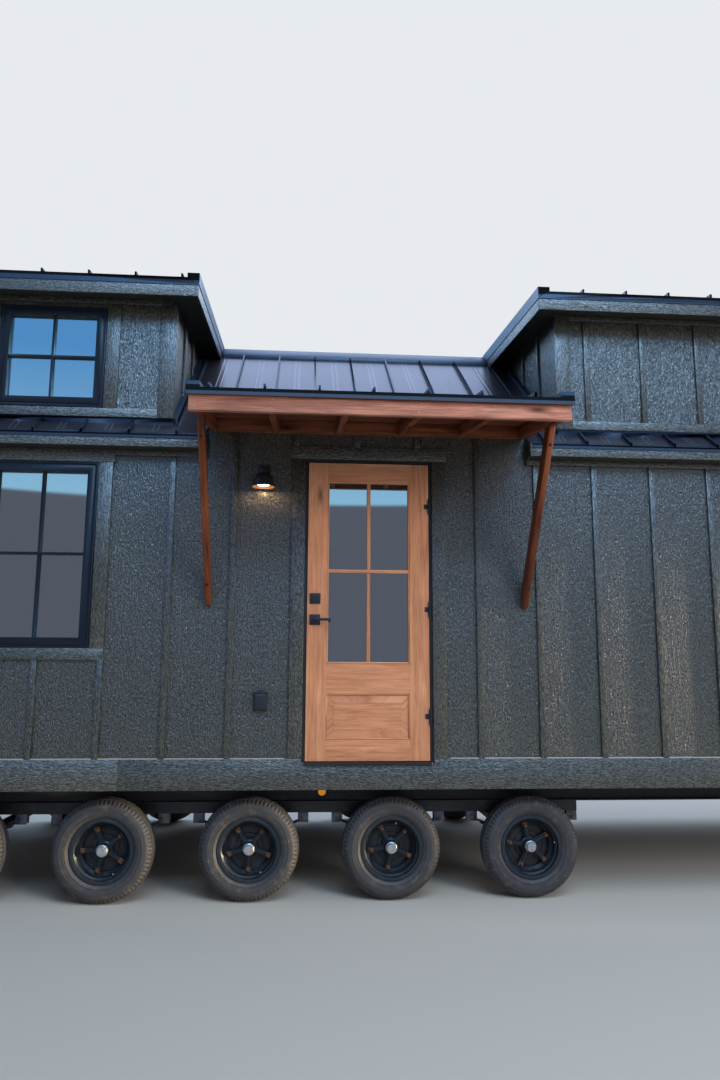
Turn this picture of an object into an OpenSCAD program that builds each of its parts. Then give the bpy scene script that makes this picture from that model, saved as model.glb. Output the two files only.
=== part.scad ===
// Tiny house on wheels: board-and-batten cabin with shed dormers on a five-axle trailer.
// Millimetres. X runs along the house, Y from its front to its back, Z up from the ground.

/* [House] */
// Length of the house over its end walls
house_len = 9754; // [9000:1:11500]
// Width of the house over its long walls
house_w = 3048; // [2800:1:3300]
// Thickness of every outer wall
wall_t = 114; // [90:1:140]
// Height from the floor to the underside of the eaves
wall_h = 2007; // [1990:1:2300]
// Thickness of the floor deck
deck_t = 38; // [25:1:60]
// Thickness of the two loft floors
loft_t = 90; // [60:1:110]

/* [Roof] */
// Rise of the main roof for each unit of run
roof_pitch = 0.75; // [0.65:0.01:0.8]
// Thickness of the main roof, measured straight up
roof_t = 170; // [130:1:200]
// Overhang of the long eaves, with their fascia
eave_oh = 115; // [80:1:160]
// Overhang of the gable ends, with their rake boards
gable_oh = 150; // [80:1:250]
// Distance between the standing seams of the roof metal
seam_pitch = 304.8; // [250:0.1:450]
// Width of a standing seam
seam_w = 12; // [8:1:20]
// Height of a standing seam
seam_h = 28; // [15:1:40]
// Place of the seam nearest to the middle of the house
seam_x = -51; // [-100:1:100]
// Width of each wing of the ridge cap
ridge_w = 125; // [80:1:160]
// Thickness of the ridge cap
ridge_t = 6; // [3:1:12]
// Width of the metal caps along the dormers' and gables' sloping edges
rake_cap_w = 76; // [60:1:90]
// Height of the metal caps along the sloping edges, above the roof metal
rake_cap_h = 34; // [29:1:45]
// Height of the metal drip edges over the fascias
drip_h = 50; // [30:1:60]
// Height of the metal drip edges over the main eaves' fascias
eave_drip_h = 24; // [15:1:40]
// How far the drip edges and rake caps stand out of the boards they cover
drip_out = 5; // [4:1:12]
// Height of the metal flashings where a roof meets a wall above it
flashing_h = 28; // [20:1:60]

/* [Dormers] */
// Distance from the middle of the house to the nearer cheek of a dormer
dormer_in = 1338; // [1300:1:1500]
// Width of a dormer over its cheeks
dormer_w = 1612; // [1400:1:1750]
// Distance of the dormer's front behind the long wall
dormer_set = 50; // [20:1:80]
// Height of the dormer's roof edge above the main eaves' underside
dormer_h = 1158; // [1120:1:1180]
// Rise of the dormer roof for each unit of run
dormer_pitch = 0.1; // [0.08:0.005:0.12]
// Thickness of the dormer roof, measured straight up
dormer_t = 100; // [70:1:120]
// Overhang of the dormer roof over its front wall, with the fascia
dormer_oh = 200; // [120:1:240]
// Overhang of the dormer roof over its cheeks, with the rake boards
dormer_side = 180; // [100:1:220]

/* [Boards] */
// Distance between the battens
batten_pitch = 406.4; // [300:0.1:610]
// Width of a batten
batten_w = 38; // [25:1:64]
// Thickness of a batten
batten_t = 19; // [12:1:25]
// Left edge of the batten nearest to the middle of the house
batten_x = -98; // [-150:1:100]
// Thickness of the skirt, corner and casing boards
board_t = 20; // [19:1:28]
// Width of the casing boards round the door and at the corners
casing_w = 89; // [60:1:110]
// Height of the skirt board
skirt_h = 190; // [170:1:230]
// Width of the casing boards at the lower windows' sills
sill_board = 74; // [60:1:90]
// Height of the base board on a dormer's front
base_board = 62; // [50:1:90]
// How far the head casings run past the side casings
ear = 12; // [5:1:25]
// Height of the frieze board under the eaves
frieze_h = 38; // [20:1:60]
// Thickness of the fascia and rake boards
fascia_t = 19; // [12:1:25]
// How far the dormers' fascias hang below their roofs' undersides
fascia_drop = 28; // [15:1:40]
// Place of the joint in the front skirt board
skirt_joint = -1557; // [-2500:1:-700]

/* [Windows] */
// Width of the lower windows
win_w = 699; // [600:1:760]
// Height of the lower windows
win_h = 1208; // [1000:1:1215]
// Distance from the middle of the house to the middle of the lower window
win_x = 2130; // [2000:1:2200]
// Distance of the lower windows' heads below the eaves' underside
head_drop = 90; // [80:1:110]
// Width of the dormer windows
loft_win_w = 703; // [600:1:760]
// Height of the dormer windows
loft_win_h = 706; // [600:1:712]
// Height of the dormer window's sill above the main eaves' underside
loft_sill_h = 303; // [295:1:308]
// Width of the window frames seen from outside
frame_w = 66; // [40:1:80]
// Depth of the window frames
frame_d = 80; // [60:1:90]
// How far the window frames stand out of the wall
frame_out = 12; // [5:1:18]
// Width of the bars between the panes
bar_w = 16; // [10:1:30]
// Depth of the bars between the panes
bar_d = 22; // [15:1:30]
// Thickness of the glass
glass_t = 12; // [6:1:20]

/* [Door] */
// Width of the door leaf
door_w = 803; // [760:1:860]
// Distance of the door leaf's top below the eaves' underside
door_drop = 54; // [40:1:90]
// Thickness of the door leaf
door_t = 45; // [40:1:55]
// Gap between the door leaf and its frame
door_gap = 5; // [5:0.5:8]
// Thickness of the jambs
jamb_t = 18; // [15:1:30]
// Width of the jamb's edge left showing beside the casing
reveal = 16; // [12:1:18]
// Width of the door's stiles
stile_w = 129; // [110:1:140]
// Height of the door's top rail
top_rail = 126; // [100:1:140]
// Height of the rail between the door's glass and its panel
lock_rail = 192; // [150:1:220]
// Width of the bars across the door's glass
door_bar_w = 24; // [15:1:35]
// Height of the door's bottom rail
bottom_rail = 134; // [100:1:160]
// Height of the panel below the glass
panel_h = 288; // [240:1:300]
// Depth of the groove round the raised panel
panel_groove = 12; // [6:1:16]
// Height of the lever above the floor
lever_h = 903; // [850:1:950]
// Distance between the middles of the lever's rose and the deadbolt
lock_pitch = 138; // [100:1:160]
// Side of the square roses
rose_w = 69; // [55:1:75]
// Length of the lever from its spindle
lever_len = 102; // [90:1:130]
// Distance of the lowest hinge's middle above the leaf's foot
hinge_low = 279; // [200:1:350]
// Distance of the highest hinge's middle below the leaf's top
hinge_high = 288; // [200:1:350]
// Radius of the hinge pins
pin_r = 5; // [4:0.5:7]
// Play between a pin or spindle and its bore
bore_play = 0.05; // [0.02:0.01:0.08]

/* [Awning] */
// Width of the awning over its end rafters
awning_w = 2114; // [1950:1:2150]
// Distance from the wall to the front of the rafters
awning_out = 914; // [880:1:1100]
// Rise of the awning for each unit of run
awning_pitch = 0.1667; // [0.12:0.0001:0.18]
// Height of the rafters' tops at the wall above the main eaves' underside
awning_up = 232; // [225:1:245]
// Thickness of the awning's roof deck and metal
awning_t = 40; // [25:1:50]
// Thickness of the rafters, the ledger and the front beam
lumber_t = 38; // [30:1:50]
// Depth of the rafters, the ledger, the front beam and the braces
lumber_h = 89; // [75:1:110]
// Number of rafters
rafters = 6; // [4:1:8]
// How far the front beam runs past the end rafters
beam_over = 21; // [10:1:40]
// Distance from the wall to the top of the braces
brace_out = 730; // [600:1:800]
// Height of the foot of the braces above the floor
brace_z = 989; // [900:1:1100]
// Width of the level cut at the foot of the braces
brace_toe = 35; // [20:1:60]

/* [Trailer] */
// Number of axles
axles_n = 5; // [3:1:5]
// Distance between the axles
axle_pitch = 914.4; // [860:0.1:980]
// Distance of the middle axle from the middle of the house
axle_x = -748; // [-900:1:0]
// Diameter of the axle tubes
axle_d = 76; // [60:1:90]
// Depth of the two main beams
beam_h = 254; // [200:1:300]
// Width of the flanges of the main beams
beam_w = 100; // [80:1:110]
// Thickness of the flanges and webs
steel_t = 8; // [6:1:10]
// Distance of the main beams' webs from the faces of the long walls
beam_y = 360; // [350:1:460]
// Height of the rails under the main beams
rail_h = 68; // [50:1:80]
// Width of the rails under the main beams
rail_w = 64; // [60:1:75]
// How far the rails run past the outermost spring eyes
rail_past = 36; // [36:1:200]
// Depth of the floor frame's channels
rim_h = 127; // [100:1:150]
// Width of the flanges of the floor frame's channels
rim_w = 50; // [40:1:60]
// Distance between the floor frame's cross channels
cross_pitch = 1219.2; // [800:0.1:1400]
// How far the drawbar reaches past the house
drawbar_out = 1300; // [1000:1:1500]
// How far the drawbar's rails run back under the house
drawbar_in = 1000; // [800:1:1200]
// Width of the drawbar's rails
drawbar_w = 60; // [45:1:80]
// Distance of the drawbar's cross bar behind its front end
drawbar_cross = 700; // [400:1:900]
// Height of the drawbar's cross bar
cross_h = 60; // [40:1:100]
// Diameter of the tow ball that the coupler takes
ball_d = 59; // [50:1:62]
// Width of the coupler
coupler_w = 90; // [80:1:110]

/* [Springs] */
// Half of the distance between a spring's eyes
spring_half = 344; // [320:1:360]
// Height of the eyes above the middle of the main leaf
spring_arch = 80; // [60:1:100]
// Thickness of a leaf
leaf_t = 9; // [7:1:11]
// Width of the leaves
leaf_w = 45; // [40:1:50]
// Number of leaves
leaves = 4; // [3:1:5]
// Radius of the bolts that clamp a spring to its axle
u_bolt_r = 6; // [5:1:8]
// Outer radius of the spring eyes
eye_r = 16; // [14:1:20]
// Radius of the bolts through the eyes
eye_bolt_r = 8; // [6:1:9]
// Distance from the rail's underside to the middle of the eyes
hanger_drop = 41.5; // [36:0.5:60]

/* [Wheels] */
// Outer diameter of the tyres
tyre_d = 640; // [600:1:690]
// Width of the tyres
tyre_w = 180; // [160:1:190]
// Depth of the grooves round the tread
groove_d = 7; // [3:1:10]
// Width of the grooves round the tread
groove_w = 7; // [4:1:10]
// Radius of the rim at the tyre's bead
bead_r = 184; // [178:1:190]
// Radius of the rim's outer flanges
flange_r = 200; // [195:1:205]
// Width of the rim over its flanges
rim_over = 151; // [140:1:158]
// Inner radius of the rim's mounting lip
lip_r = 138; // [130:1:145]
// Distance of the wheels' middle planes from the faces of the long walls
wheel_y = 190; // [180:1:210]
// Radius of the hub barrel
hub_r = 42; // [36:1:46]
// Radius of the grease cap
cap_r = 34; // [28:1:35]
// Radius of the spindles
spindle_r = 22; // [18:1:25]
// Number of spokes
spokes = 5; // [3:1:6]
// Radius of the circle of clamp nuts
clamp_r = 127; // [118:1:130]

/* [Fittings] */
// Distance of the wall lamp from the middle of the house
lamp_x = -697; // [-760:1:-600]
// Distance of the lamp's rim below the eaves' underside
lamp_drop = 255; // [230:1:320]
// Radius of the lamp's shade
lamp_r = 74; // [60:1:90]
// Distance of the lamp's shade from the wall
lamp_out = 45; // [30:1:80]
// Distance of the outlet cover from the middle of the house
outlet_x = -689; // [-740:1:-600]
// Height of the outlet cover's middle above the floor
outlet_h = 380; // [300:1:500]
// Place of the side marker lamp along the house
marker_x = -280; // [-350:1:350]
// Height of the marker lamp's middle above the main beams' underside
marker_h = 63; // [50:1:200]
// Radius of the marker lamp's lens
marker_r = 26; // [20:1:32]

/* [Hidden] */
$fn = 96;

// Colours
PAINT = "#3d4238";
ROOF = "#33373c";
STAIN = "#8a5238";
DOOR = "#b5794a";
BLACK = "#17191b";
STEEL = "#222527";
ZINC = "#83878a";
RUBBER = "#1d1e20";
FLOOR = "#a58a66";

// Heights from the ground up
axle_z = tyre_d / 2;
pack_t = leaves * leaf_t;
leaf_z = axle_z + axle_d / 2 + pack_t - leaf_t / 2;
eye_z = leaf_z + spring_arch;
rail_z = eye_z + hanger_drop;
beam_z = rail_z + rail_h;
deck_z = beam_z + beam_h;
floor_z = deck_z + deck_t;
rim_z = deck_z - rim_h;
eave_z = floor_z + wall_h;
sill_z = eave_z - head_drop - win_h;

// Places along and across the house
half_len = house_len / 2;
mid_y = house_w / 2;
ridge_z = roof_top(mid_y);
dormer_out = dormer_in + dormer_w;
dormer_mid = (dormer_in + dormer_out) / 2;
dormer_y = dormer_set - dormer_oh;
base_z = roof_top(dormer_set) + flashing_h;

// Door opening, from the leaf outwards
leaf_z0 = floor_z + 8;
leaf_z1 = eave_z - door_drop;
light_z1 = leaf_z1 - top_rail;
light_z0 = leaf_z0 + bottom_rail + panel_h + lock_rail;
light_mid = (light_z0 + light_z1) / 2;
open_x = door_w / 2 + door_gap + jamb_t;
open_z = leaf_z1 + door_gap + jamb_t;
sill_drop = 15;
pin_x = door_w / 2 + 4;
pin_y = -(pin_r + 5);
lever_x = -(door_w / 2 - stile_w / 2 + 12);
lever_z = floor_z + lever_h;
hinge_h = 100;
hinge_z0 = leaf_z0 + hinge_low;
hinge_z1 = leaf_z1 - hinge_high;
hinge_zs = [hinge_z0, (hinge_z0 + hinge_z1) / 2, hinge_z1];

// Awning heights
awning_u0 = eave_z + awning_up;
rafter_drop = lumber_h * sqrt(1 + awning_pitch * awning_pitch);
beam_half = awning_w / 2 + beam_over;
edge_out = 25;
awning_lo = -(awning_out + lumber_t + edge_out);
metal_over = 12;

// The part's origin is the middle of its footprint on the ground
leaf_lap = 0.5;
seat_gap = 0.3;
bead_gap = 0.3;
board_gap = 0.4;
hung_gap = 6;
pane_in = 22;
wheel_turns = [100, 105, 92, 98, 115];
stop_w = 14;
stop_y = door_t + door_gap;
drip_t = 3;
rim_t = 5;
rim_half_w = rim_over / 2;
x_lo = -(half_len + gable_oh + drip_out);
x_hi = half_len + drawbar_out + coupler_w / 2;
y_lo = awning_lo;
y_hi = house_w - dormer_y + drip_out;

// Top of the main roof's front slope at distance y behind the front wall's face
function roof_top(y) = eave_z + roof_t + roof_pitch * y;
// Tops of the walls under the main roof
function roof_under(y) = roof_top(y) - roof_t - seat_gap;
// Undersides of what lies on the main roof
function roof_seat(y) = roof_top(y) + seat_gap;
// Top of a front dormer's roof
function dormer_top(y) = eave_z + dormer_h + dormer_pitch * (y - dormer_y);
// Tops of the walls and boards under a dormer's roof
function dormer_under(y) = dormer_top(y) - dormer_t - seat_gap;
// Underside of the awning's roof
function awning_under(y) = awning_u0 + awning_pitch * y;
// Place behind the wall where two lines a + m y and b + n y cross
function cross_y(a, m, b, n) = (b - a) / (m - n);

// Where the awning's top runs into the main roof
awning_end = cross_y(roof_top(0), roof_pitch, awning_u0 + awning_t, awning_pitch);
// Where a dormer's underside runs into the main roof
dormer_end = cross_y(roof_seat(0), roof_pitch, dormer_top(0) - dormer_t, dormer_pitch);
// Where the underside of a dormer's rake board runs into the main roof
rake_end = cross_y(roof_seat(0), roof_pitch, dormer_top(0) - dormer_t - fascia_drop, dormer_pitch);

// Extrudes an outline drawn across the house, as [y, z], from x0 to x1
module along(x0, x1) {
    translate([x0, 0, 0])
        rotate([90, 0, 90])
            linear_extrude(height = x1 - x0)
                children();
}

// Repeats its children on the back of the house, turned over the middle line
module on_back() {
    translate([0, house_w, 0])
        mirror([0, 1, 0])
            children();
}

// Repeats its children to the left and the right of the middle
module both_ends() {
    children();
    mirror([1, 0, 0])
        children();
}

// Repeats its children on the front and the back
module both_sides() {
    children();
    on_back()
        children();
}

// A box from one corner to the other
module block(a, b) {
    translate(a)
        cube(b - a);
}

// A box with a window's hole through it, for a hole centred at x and starting at z
module window_hole(x, z, w, h, y0, y1) {
    block([x - w / 2, y0, z], [x + w / 2, y1, z + h]);
}

// Trailer

module beam_outline() {
    for (z = [beam_z, beam_z + beam_h - steel_t])
        translate([-beam_w / 2, z])
            square([beam_w, steel_t]);
    translate([-steel_t / 2, beam_z])
        square([steel_t, beam_h]);
}

module main_beams() {
    color(STEEL)
        both_sides() {
            along(-half_len + rim_w, half_len - rim_w)
                translate([beam_y, 0])
                    beam_outline();
            reach = axle_pitch * (axles_n - 1) / 2 + spring_half + rail_past;
            block([axle_x - reach, beam_y - rail_w / 2, rail_z],
                [axle_x + reach, beam_y + rail_w / 2, beam_z + 1]);
        }
}

// The room that the main beams take up in the floor frame
module beam_room() {
    both_sides()
        block([-half_len, beam_y - beam_w / 2, beam_z], [half_len, beam_y + beam_w / 2, deck_z + 1]);
}

// Outline of a channel lying on its back edge, open towards positive x
module channel_outline(w, h, t) {
    difference() {
        square([w, h]);
        translate([t, t])
            square([w, h - 2 * t]);
    }
}

module floor_frame() {
    cross_len = house_w - 2 * (rim_w + seat_gap);
    color(STEEL) {
        both_sides()
            along(-half_len, half_len)
                translate([0, rim_z])
                    channel_outline(rim_w, rim_h, steel_t);
        both_ends()
            translate([half_len, rim_w + seat_gap, rim_z])
                rotate([90, 0, 180])
                    linear_extrude(height = cross_len)
                        channel_outline(rim_w, rim_h, steel_t);
        difference() {
            for (x = [-half_len + cross_pitch : cross_pitch : half_len - cross_pitch / 2])
                translate([x, house_w - rim_w - seat_gap, rim_z])
                    rotate([90, 0, 0])
                        linear_extrude(height = cross_len)
                            channel_outline(rim_w, rim_h, steel_t);
            beam_room();
        }
    }
}

// One of the two converging rails of the drawbar
module drawbar_rail(run, side, h) {
    tip_x = half_len + drawbar_out;
    turn = atan(side / run);
    intersection() {
        translate([tip_x, mid_y, beam_z])
            rotate([0, 0, 180 + turn])
                translate([-run / 4, -drawbar_w / 2, 0])
                    cube([run * 1.5, drawbar_w, h]);
        block([half_len - drawbar_in, 0, beam_z], [tip_x, house_w, beam_z + h]);
    }
}

module drawbar() {
    tip_x = half_len + drawbar_out;
    run = drawbar_out + drawbar_in;
    side = mid_y - beam_y - beam_w / 2;
    h = rim_z - beam_z;
    cross_y = drawbar_cross * side / run;
    cross_z = beam_z + (h - cross_h) / 2;
    ball_x = tip_x;
    lip = 12;
    color(STEEL)
        difference() {
            union() {
                both_sides()
                    drawbar_rail(run, side, h);
                block([tip_x - drawbar_cross, mid_y - cross_y, cross_z],
                    [tip_x - drawbar_cross + drawbar_w, mid_y + cross_y, cross_z + cross_h]);
                block([tip_x - 2 * coupler_w, mid_y - coupler_w / 2, beam_z],
                    [ball_x, mid_y + coupler_w / 2, beam_z + h]);
                translate([ball_x, mid_y, beam_z])
                    cylinder(h = coupler_w, r = coupler_w / 2);
                translate([tip_x - coupler_w, mid_y, beam_z + h - 1])
                    cylinder(h = rim_h / 2, r = cap_r);
            }
            beam_room();
            translate([ball_x, mid_y, beam_z + lip])
                sphere(d = ball_d);
            translate([ball_x, mid_y, beam_z - 1])
                cylinder(h = lip + 1, d = ball_d);
        }
}

// Calls its children at every axle
module at_axles() {
    for (i = [0 : axles_n - 1])
        translate([axle_x + (i - (axles_n - 1) / 2) * axle_pitch, 0, 0])
            children();
}

module axles() {
    tube_y = wheel_y + tyre_w / 2 + 2;
    color(STEEL)
        at_axles() {
            translate([0, tube_y, axle_z])
                rotate([-90, 0, 0])
                    cylinder(h = house_w - 2 * tube_y, r = axle_d / 2);
            translate([0, wheel_y - tyre_w / 2 + 33, axle_z])
                rotate([-90, 0, 0])
                    cylinder(h = house_w - 2 * (wheel_y - tyre_w / 2 + 33), r = spindle_r);
        }
}

// One leaf: an arc of thickness leaf_t on radius r, opening upwards
module leaf(r, half_angle) {
    translate([0, leaf_w / 2, leaf_z + leaf_arc_r()])
        rotate([90, 0, 0])
            rotate([0, 0, 270 - half_angle])
                rotate_extrude(angle = 2 * half_angle, $fn = 360)
                    translate([r - leaf_t / 2 - leaf_lap, 0])
                        square([leaf_t + leaf_lap, leaf_w]);
}

// Radius of the main leaf's arc
function leaf_arc_r() = (spring_half * spring_half + spring_arch * spring_arch) / (2 * spring_arch);

module leaf_spring() {
    full = asin(spring_half / leaf_arc_r());
    difference() {
        union() {
            leaf(leaf_arc_r(), full);
            for (i = [1 : leaves - 1])
                leaf(leaf_arc_r() + i * leaf_t, full * (1 - 0.8 * i / leaves));
            for (s = [-1, 1])
                translate([s * spring_half, leaf_w / 2, eye_z])
                    rotate([90, 0, 0])
                        cylinder(h = leaf_w, r = eye_r);
        }
        for (s = [-1, 1])
            translate([s * spring_half, leaf_w, eye_z])
                rotate([90, 0, 0])
                    cylinder(h = 2 * leaf_w, r = eye_bolt_r + 0.3);
    }
}

// The plate on a spring's middle and the two U bolts that hold the axle to it
module axle_clamp() {
    bolt_x = axle_d / 2 + u_bolt_r + seat_gap;
    bolt_y = leaf_w / 2 + u_bolt_r + seat_gap;
    plate_z = leaf_z + leaf_t / 2 - leaf_lap;
    plate_t = 8;
    rim = 2 * u_bolt_r;
    block([-bolt_x - rim, -bolt_y - rim, plate_z], [bolt_x + rim, bolt_y + rim, plate_z + plate_t]);
    for (s = [-1, 1])
        translate([0, s * bolt_y, axle_z]) {
            rotate([90, 0, 0])
                rotate([0, 0, 180])
                    rotate_extrude(angle = 180)
                        translate([bolt_x, 0])
                            circle(r = u_bolt_r, $fn = 24);
            for (x = [-bolt_x, bolt_x])
                translate([x, 0, 0])
                    cylinder(h = plate_z + 2.5 * plate_t - axle_z, r = u_bolt_r, $fn = 24);
        }
}

module leaf_springs() {
    color(STEEL)
        both_sides()
            at_axles()
                translate([0, beam_y, 0]) {
                    leaf_spring();
                    axle_clamp();
                }
}

module spring_hanger() {
    cheek = 5;
    w = 70;
    gap = leaf_w + 1;
    half = gap / 2 + cheek;
    low = eye_z - eye_bolt_r - 14;
    head = 8;
    difference() {
        block([-w / 2, -half, low], [w / 2, half, rail_z]);
        block([-w / 2 - 1, -gap / 2, low - 1], [w / 2 + 1, gap / 2, rail_z - cheek]);
    }
    translate([0, half + head, eye_z])
        rotate([90, 0, 0]) {
            cylinder(h = 2 * (half + head), r = eye_bolt_r);
            for (z = [0, 2 * half + head])
                translate([0, 0, z])
                    cylinder(h = head, r = eye_bolt_r * 1.6, $fn = 6);
        }
}

module spring_hangers() {
    color(ZINC)
        both_sides()
            at_axles()
                for (s = [-1, 1])
                    translate([s * spring_half, beam_y, 0])
                        spring_hanger();
}

// Floors and walls

module floor_deck() {
    color(FLOOR)
        block([-half_len, 0, deck_z], [half_len, house_w, floor_z]);
}

module loft_floors() {
    color(FLOOR)
        both_ends()
            block([dormer_in, wall_t, eave_z - loft_t], [half_len - wall_t, house_w - wall_t, eave_z]);
}

// Outline of a long wall across the house, its top cut to the roof's slope
module long_wall_outline() {
    polygon([[0, floor_z], [wall_t, floor_z], [wall_t, roof_under(wall_t)], [0, roof_under(0)]]);
}

module lower_hole(x) {
    window_hole(x, sill_z, win_w, win_h, -1, wall_t + 1);
}

module front_wall_left() {
    color(PAINT)
        difference() {
            along(-half_len + wall_t, -open_x)
                long_wall_outline();
            lower_hole(-win_x);
        }
}

module front_wall_right() {
    color(PAINT)
        along(open_x, half_len - wall_t)
            long_wall_outline();
}

// The wall over the door, with the band that rises behind the awning's ledger
module front_wall_head() {
    color(PAINT) {
        along(-open_x, open_x)
            polygon([[0, open_z], [wall_t, open_z], [wall_t, roof_top(wall_t) - roof_t], [0, eave_z]]);
        along(-beam_half, beam_half)
            polygon([[0, eave_z], [wall_t, roof_top(wall_t) - roof_t], [wall_t, awning_under(wall_t)],
                [0, awning_under(0)]]);
    }
}

module back_wall() {
    color(PAINT)
        on_back()
            difference() {
                along(-half_len + wall_t, half_len - wall_t)
                    long_wall_outline();
                lower_hole(-win_x);
                lower_hole(win_x);
            }
}

module end_walls() {
    color(PAINT)
        both_ends()
            difference() {
                along(half_len - wall_t, half_len)
                    polygon([[0, floor_z], [house_w, floor_z], [house_w, roof_under(0)],
                        [mid_y, roof_under(mid_y)], [0, roof_under(0)]]);
                block([half_len - wall_t - 1, mid_y - win_w / 2, sill_z],
                    [half_len + 1, mid_y + win_w / 2, sill_z + win_h]);
            }
}

// Roof

// Outline of the main roof's front slope between distances ya and yb behind the wall
module slope_outline(ya, yb) {
    polygon([[ya, roof_top(ya)], [ya, roof_top(ya) - roof_t], [yb, roof_top(yb) - roof_t],
        [yb, roof_top(yb)]]);
}

// Outline of the eaves in front of the wall, level underneath
module eave_outline() {
    y0 = fascia_t - eave_oh;
    y1 = seat_gap / 2;
    polygon([[y0, roof_top(y0)], [y0, eave_z], [y1, eave_z], [y1, roof_top(y1)]]);
}

// One slope of the main roof; the front one is cut out for the awning's roof
module roof_slope(with_awning) {
    board_x = half_len + gable_oh - fascia_t - board_gap;
    cheek_in = dormer_in + wall_t;
    cheek_out = dormer_out - wall_t;
    both_ends() {
        along(cheek_out, board_x) {
            slope_outline(0, mid_y);
            eave_outline();
        }
        along(cheek_in, cheek_out) {
            slope_outline(0, dormer_set + wall_t);
            eave_outline();
            slope_outline(dormer_end, mid_y);
        }
        along(beam_half, cheek_in) {
            slope_outline(0, mid_y);
            eave_outline();
        }
    }
    along(-beam_half, beam_half)
        if (with_awning)
            difference() {
                slope_outline(wall_t, mid_y);
                awning_outline(0);
            }
        else {
            slope_outline(0, mid_y);
            eave_outline();
        }
}

module front_roof() {
    color(ROOF)
        roof_slope(true);
}

module back_roof() {
    color(ROOF)
        on_back()
            roof_slope(false);
}

// Standing seams between x0 and x1 on a slope from ya to yb, whose top is z0 + pitch y
module seams(x0, x1, ya, yb, z0, pitch) {
    first = ceil((x0 + seam_w - seam_x) / seam_pitch);
    last = floor((x1 - seam_w - seam_x) / seam_pitch);
    for (i = [first : last])
        along(seam_x + i * seam_pitch - seam_w / 2, seam_x + i * seam_pitch + seam_w / 2)
            polygon([[ya, z0 + pitch * ya], [yb, z0 + pitch * yb], [yb, z0 + pitch * yb + seam_h],
                [ya, z0 + pitch * ya + seam_h]]);
}

// Metal angle along an eave from x0 to x1, over a fascia whose face is at y, h deep
module drip_edge(x0, x1, y, z0, pitch, h) {
    y0 = y - drip_out;
    y1 = y + fascia_t + drip_out;
    low = z0 + pitch * y0 - h;
    along(x0, x1)
        polygon([[y1, z0 + pitch * y1], [y1, z0 + pitch * y1 + drip_t], [y0, z0 + pitch * y0 + drip_t],
            [y0, low], [y, low], [y, z0 + pitch * y]]);
}

// Metal cap along a sloping edge at x, from the fascia's face at ya up to yb
module rake_cap(x, ya, yb, z0, pitch) {
    y0 = ya - drip_out;
    leg_end = pitch < roof_pitch ? cross_y(roof_seat(0), roof_pitch, z0 - drip_h, pitch) : yb;
    leg_z = pitch < roof_pitch ? roof_seat(yb) : z0 + pitch * yb - drip_h;
    along(x - rake_cap_w, x)
        polygon([[y0, z0 + pitch * y0], [yb, z0 + pitch * yb], [yb, z0 + pitch * yb + rake_cap_h],
            [y0, z0 + pitch * y0 + rake_cap_h]]);
    along(x, x + drip_out)
        polygon([[y0, z0 + pitch * y0 - drip_h], [leg_end, z0 + pitch * leg_end - drip_h], [yb, leg_z],
            [yb, z0 + pitch * yb + rake_cap_h], [y0, z0 + pitch * y0 + rake_cap_h]]);
}

// Turned-up metal where the main roof meets a dormer's front and cheeks
module dormer_flashing() {
    y0 = dormer_set - board_t - drip_out;
    y1 = rake_end - casing_w;
    up = flashing_h - board_gap;
    along(dormer_in - board_t, dormer_out + board_t)
        polygon([[y0, roof_seat(y0)], [dormer_set, roof_seat(dormer_set)], [dormer_set, base_z - board_gap],
            [y0, base_z - board_gap]]);
    for (x = [dormer_in - casing_w / 2, dormer_out])
        along(x, x + casing_w / 2)
            polygon([[dormer_set, roof_seat(dormer_set)], [y1, roof_seat(y1)], [y1, roof_top(y1) + up],
                [dormer_set, roof_top(dormer_set) + up]]);
}

// Seams, drip edges, rake caps and flashings of one slope of the main roof
module slope_trims(with_awning) {
    out_x = half_len + gable_oh;
    cap_x = out_x - rake_cap_w;
    ridge_stop = mid_y - ridge_w;
    metal_y = -eave_oh - drip_out;
    wall_y = dormer_set - board_t - drip_out;
    wing = beam_half + metal_over + seat_gap;
    z0 = roof_seat(0);
    both_ends() {
        rake_cap(out_x, -eave_oh, ridge_stop, z0, roof_pitch);
        dormer_flashing();
        drip_edge(wing, out_x, -eave_oh, z0, roof_pitch, eave_drip_h);
    }
    for (s = [-1, 1]) {
        seams(s > 0 ? wing : -dormer_in, s > 0 ? dormer_in : -wing, metal_y, ridge_stop, z0, roof_pitch);
        seams(s > 0 ? dormer_out : -cap_x, s > 0 ? cap_x : -dormer_out, metal_y, ridge_stop, z0, roof_pitch);
        seams(s > 0 ? dormer_in : -dormer_out, s > 0 ? dormer_out : -dormer_in, metal_y, wall_y, z0,
            roof_pitch);
    }
    seams(-wing, wing, with_awning ? awning_end : metal_y, ridge_stop, z0, roof_pitch);
    if (!with_awning)
        drip_edge(-wing, wing, -eave_oh, z0, roof_pitch, eave_drip_h);
}

// Drip edge, rake caps and seams of one dormer's roof, on its own middle line
module dormer_roof_trims() {
    half = dormer_w / 2 + dormer_side;
    z0 = dormer_top(0) + seat_gap;
    drip_edge(-half, half, dormer_y, z0, dormer_pitch, drip_h);
    both_ends()
        rake_cap(half, dormer_y, mid_y, z0, dormer_pitch);
}

// The awning's seams, and the caps along its ends
module awning_trims() {
    top = awning_u0 + awning_t + seat_gap;
    end_x = beam_half + metal_over;
    meet = cross_y(roof_seat(0), roof_pitch, top, awning_pitch);
    seams(-beam_half + casing_w, beam_half - casing_w, awning_lo, awning_end, top, awning_pitch);
    both_ends()
        along(end_x - rake_cap_w, end_x)
            polygon([[awning_lo, top + awning_pitch * awning_lo], [meet, top + awning_pitch * meet],
                [meet, top + awning_pitch * meet + rake_cap_h],
                [awning_lo, top + awning_pitch * awning_lo + rake_cap_h]]);
}

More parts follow.
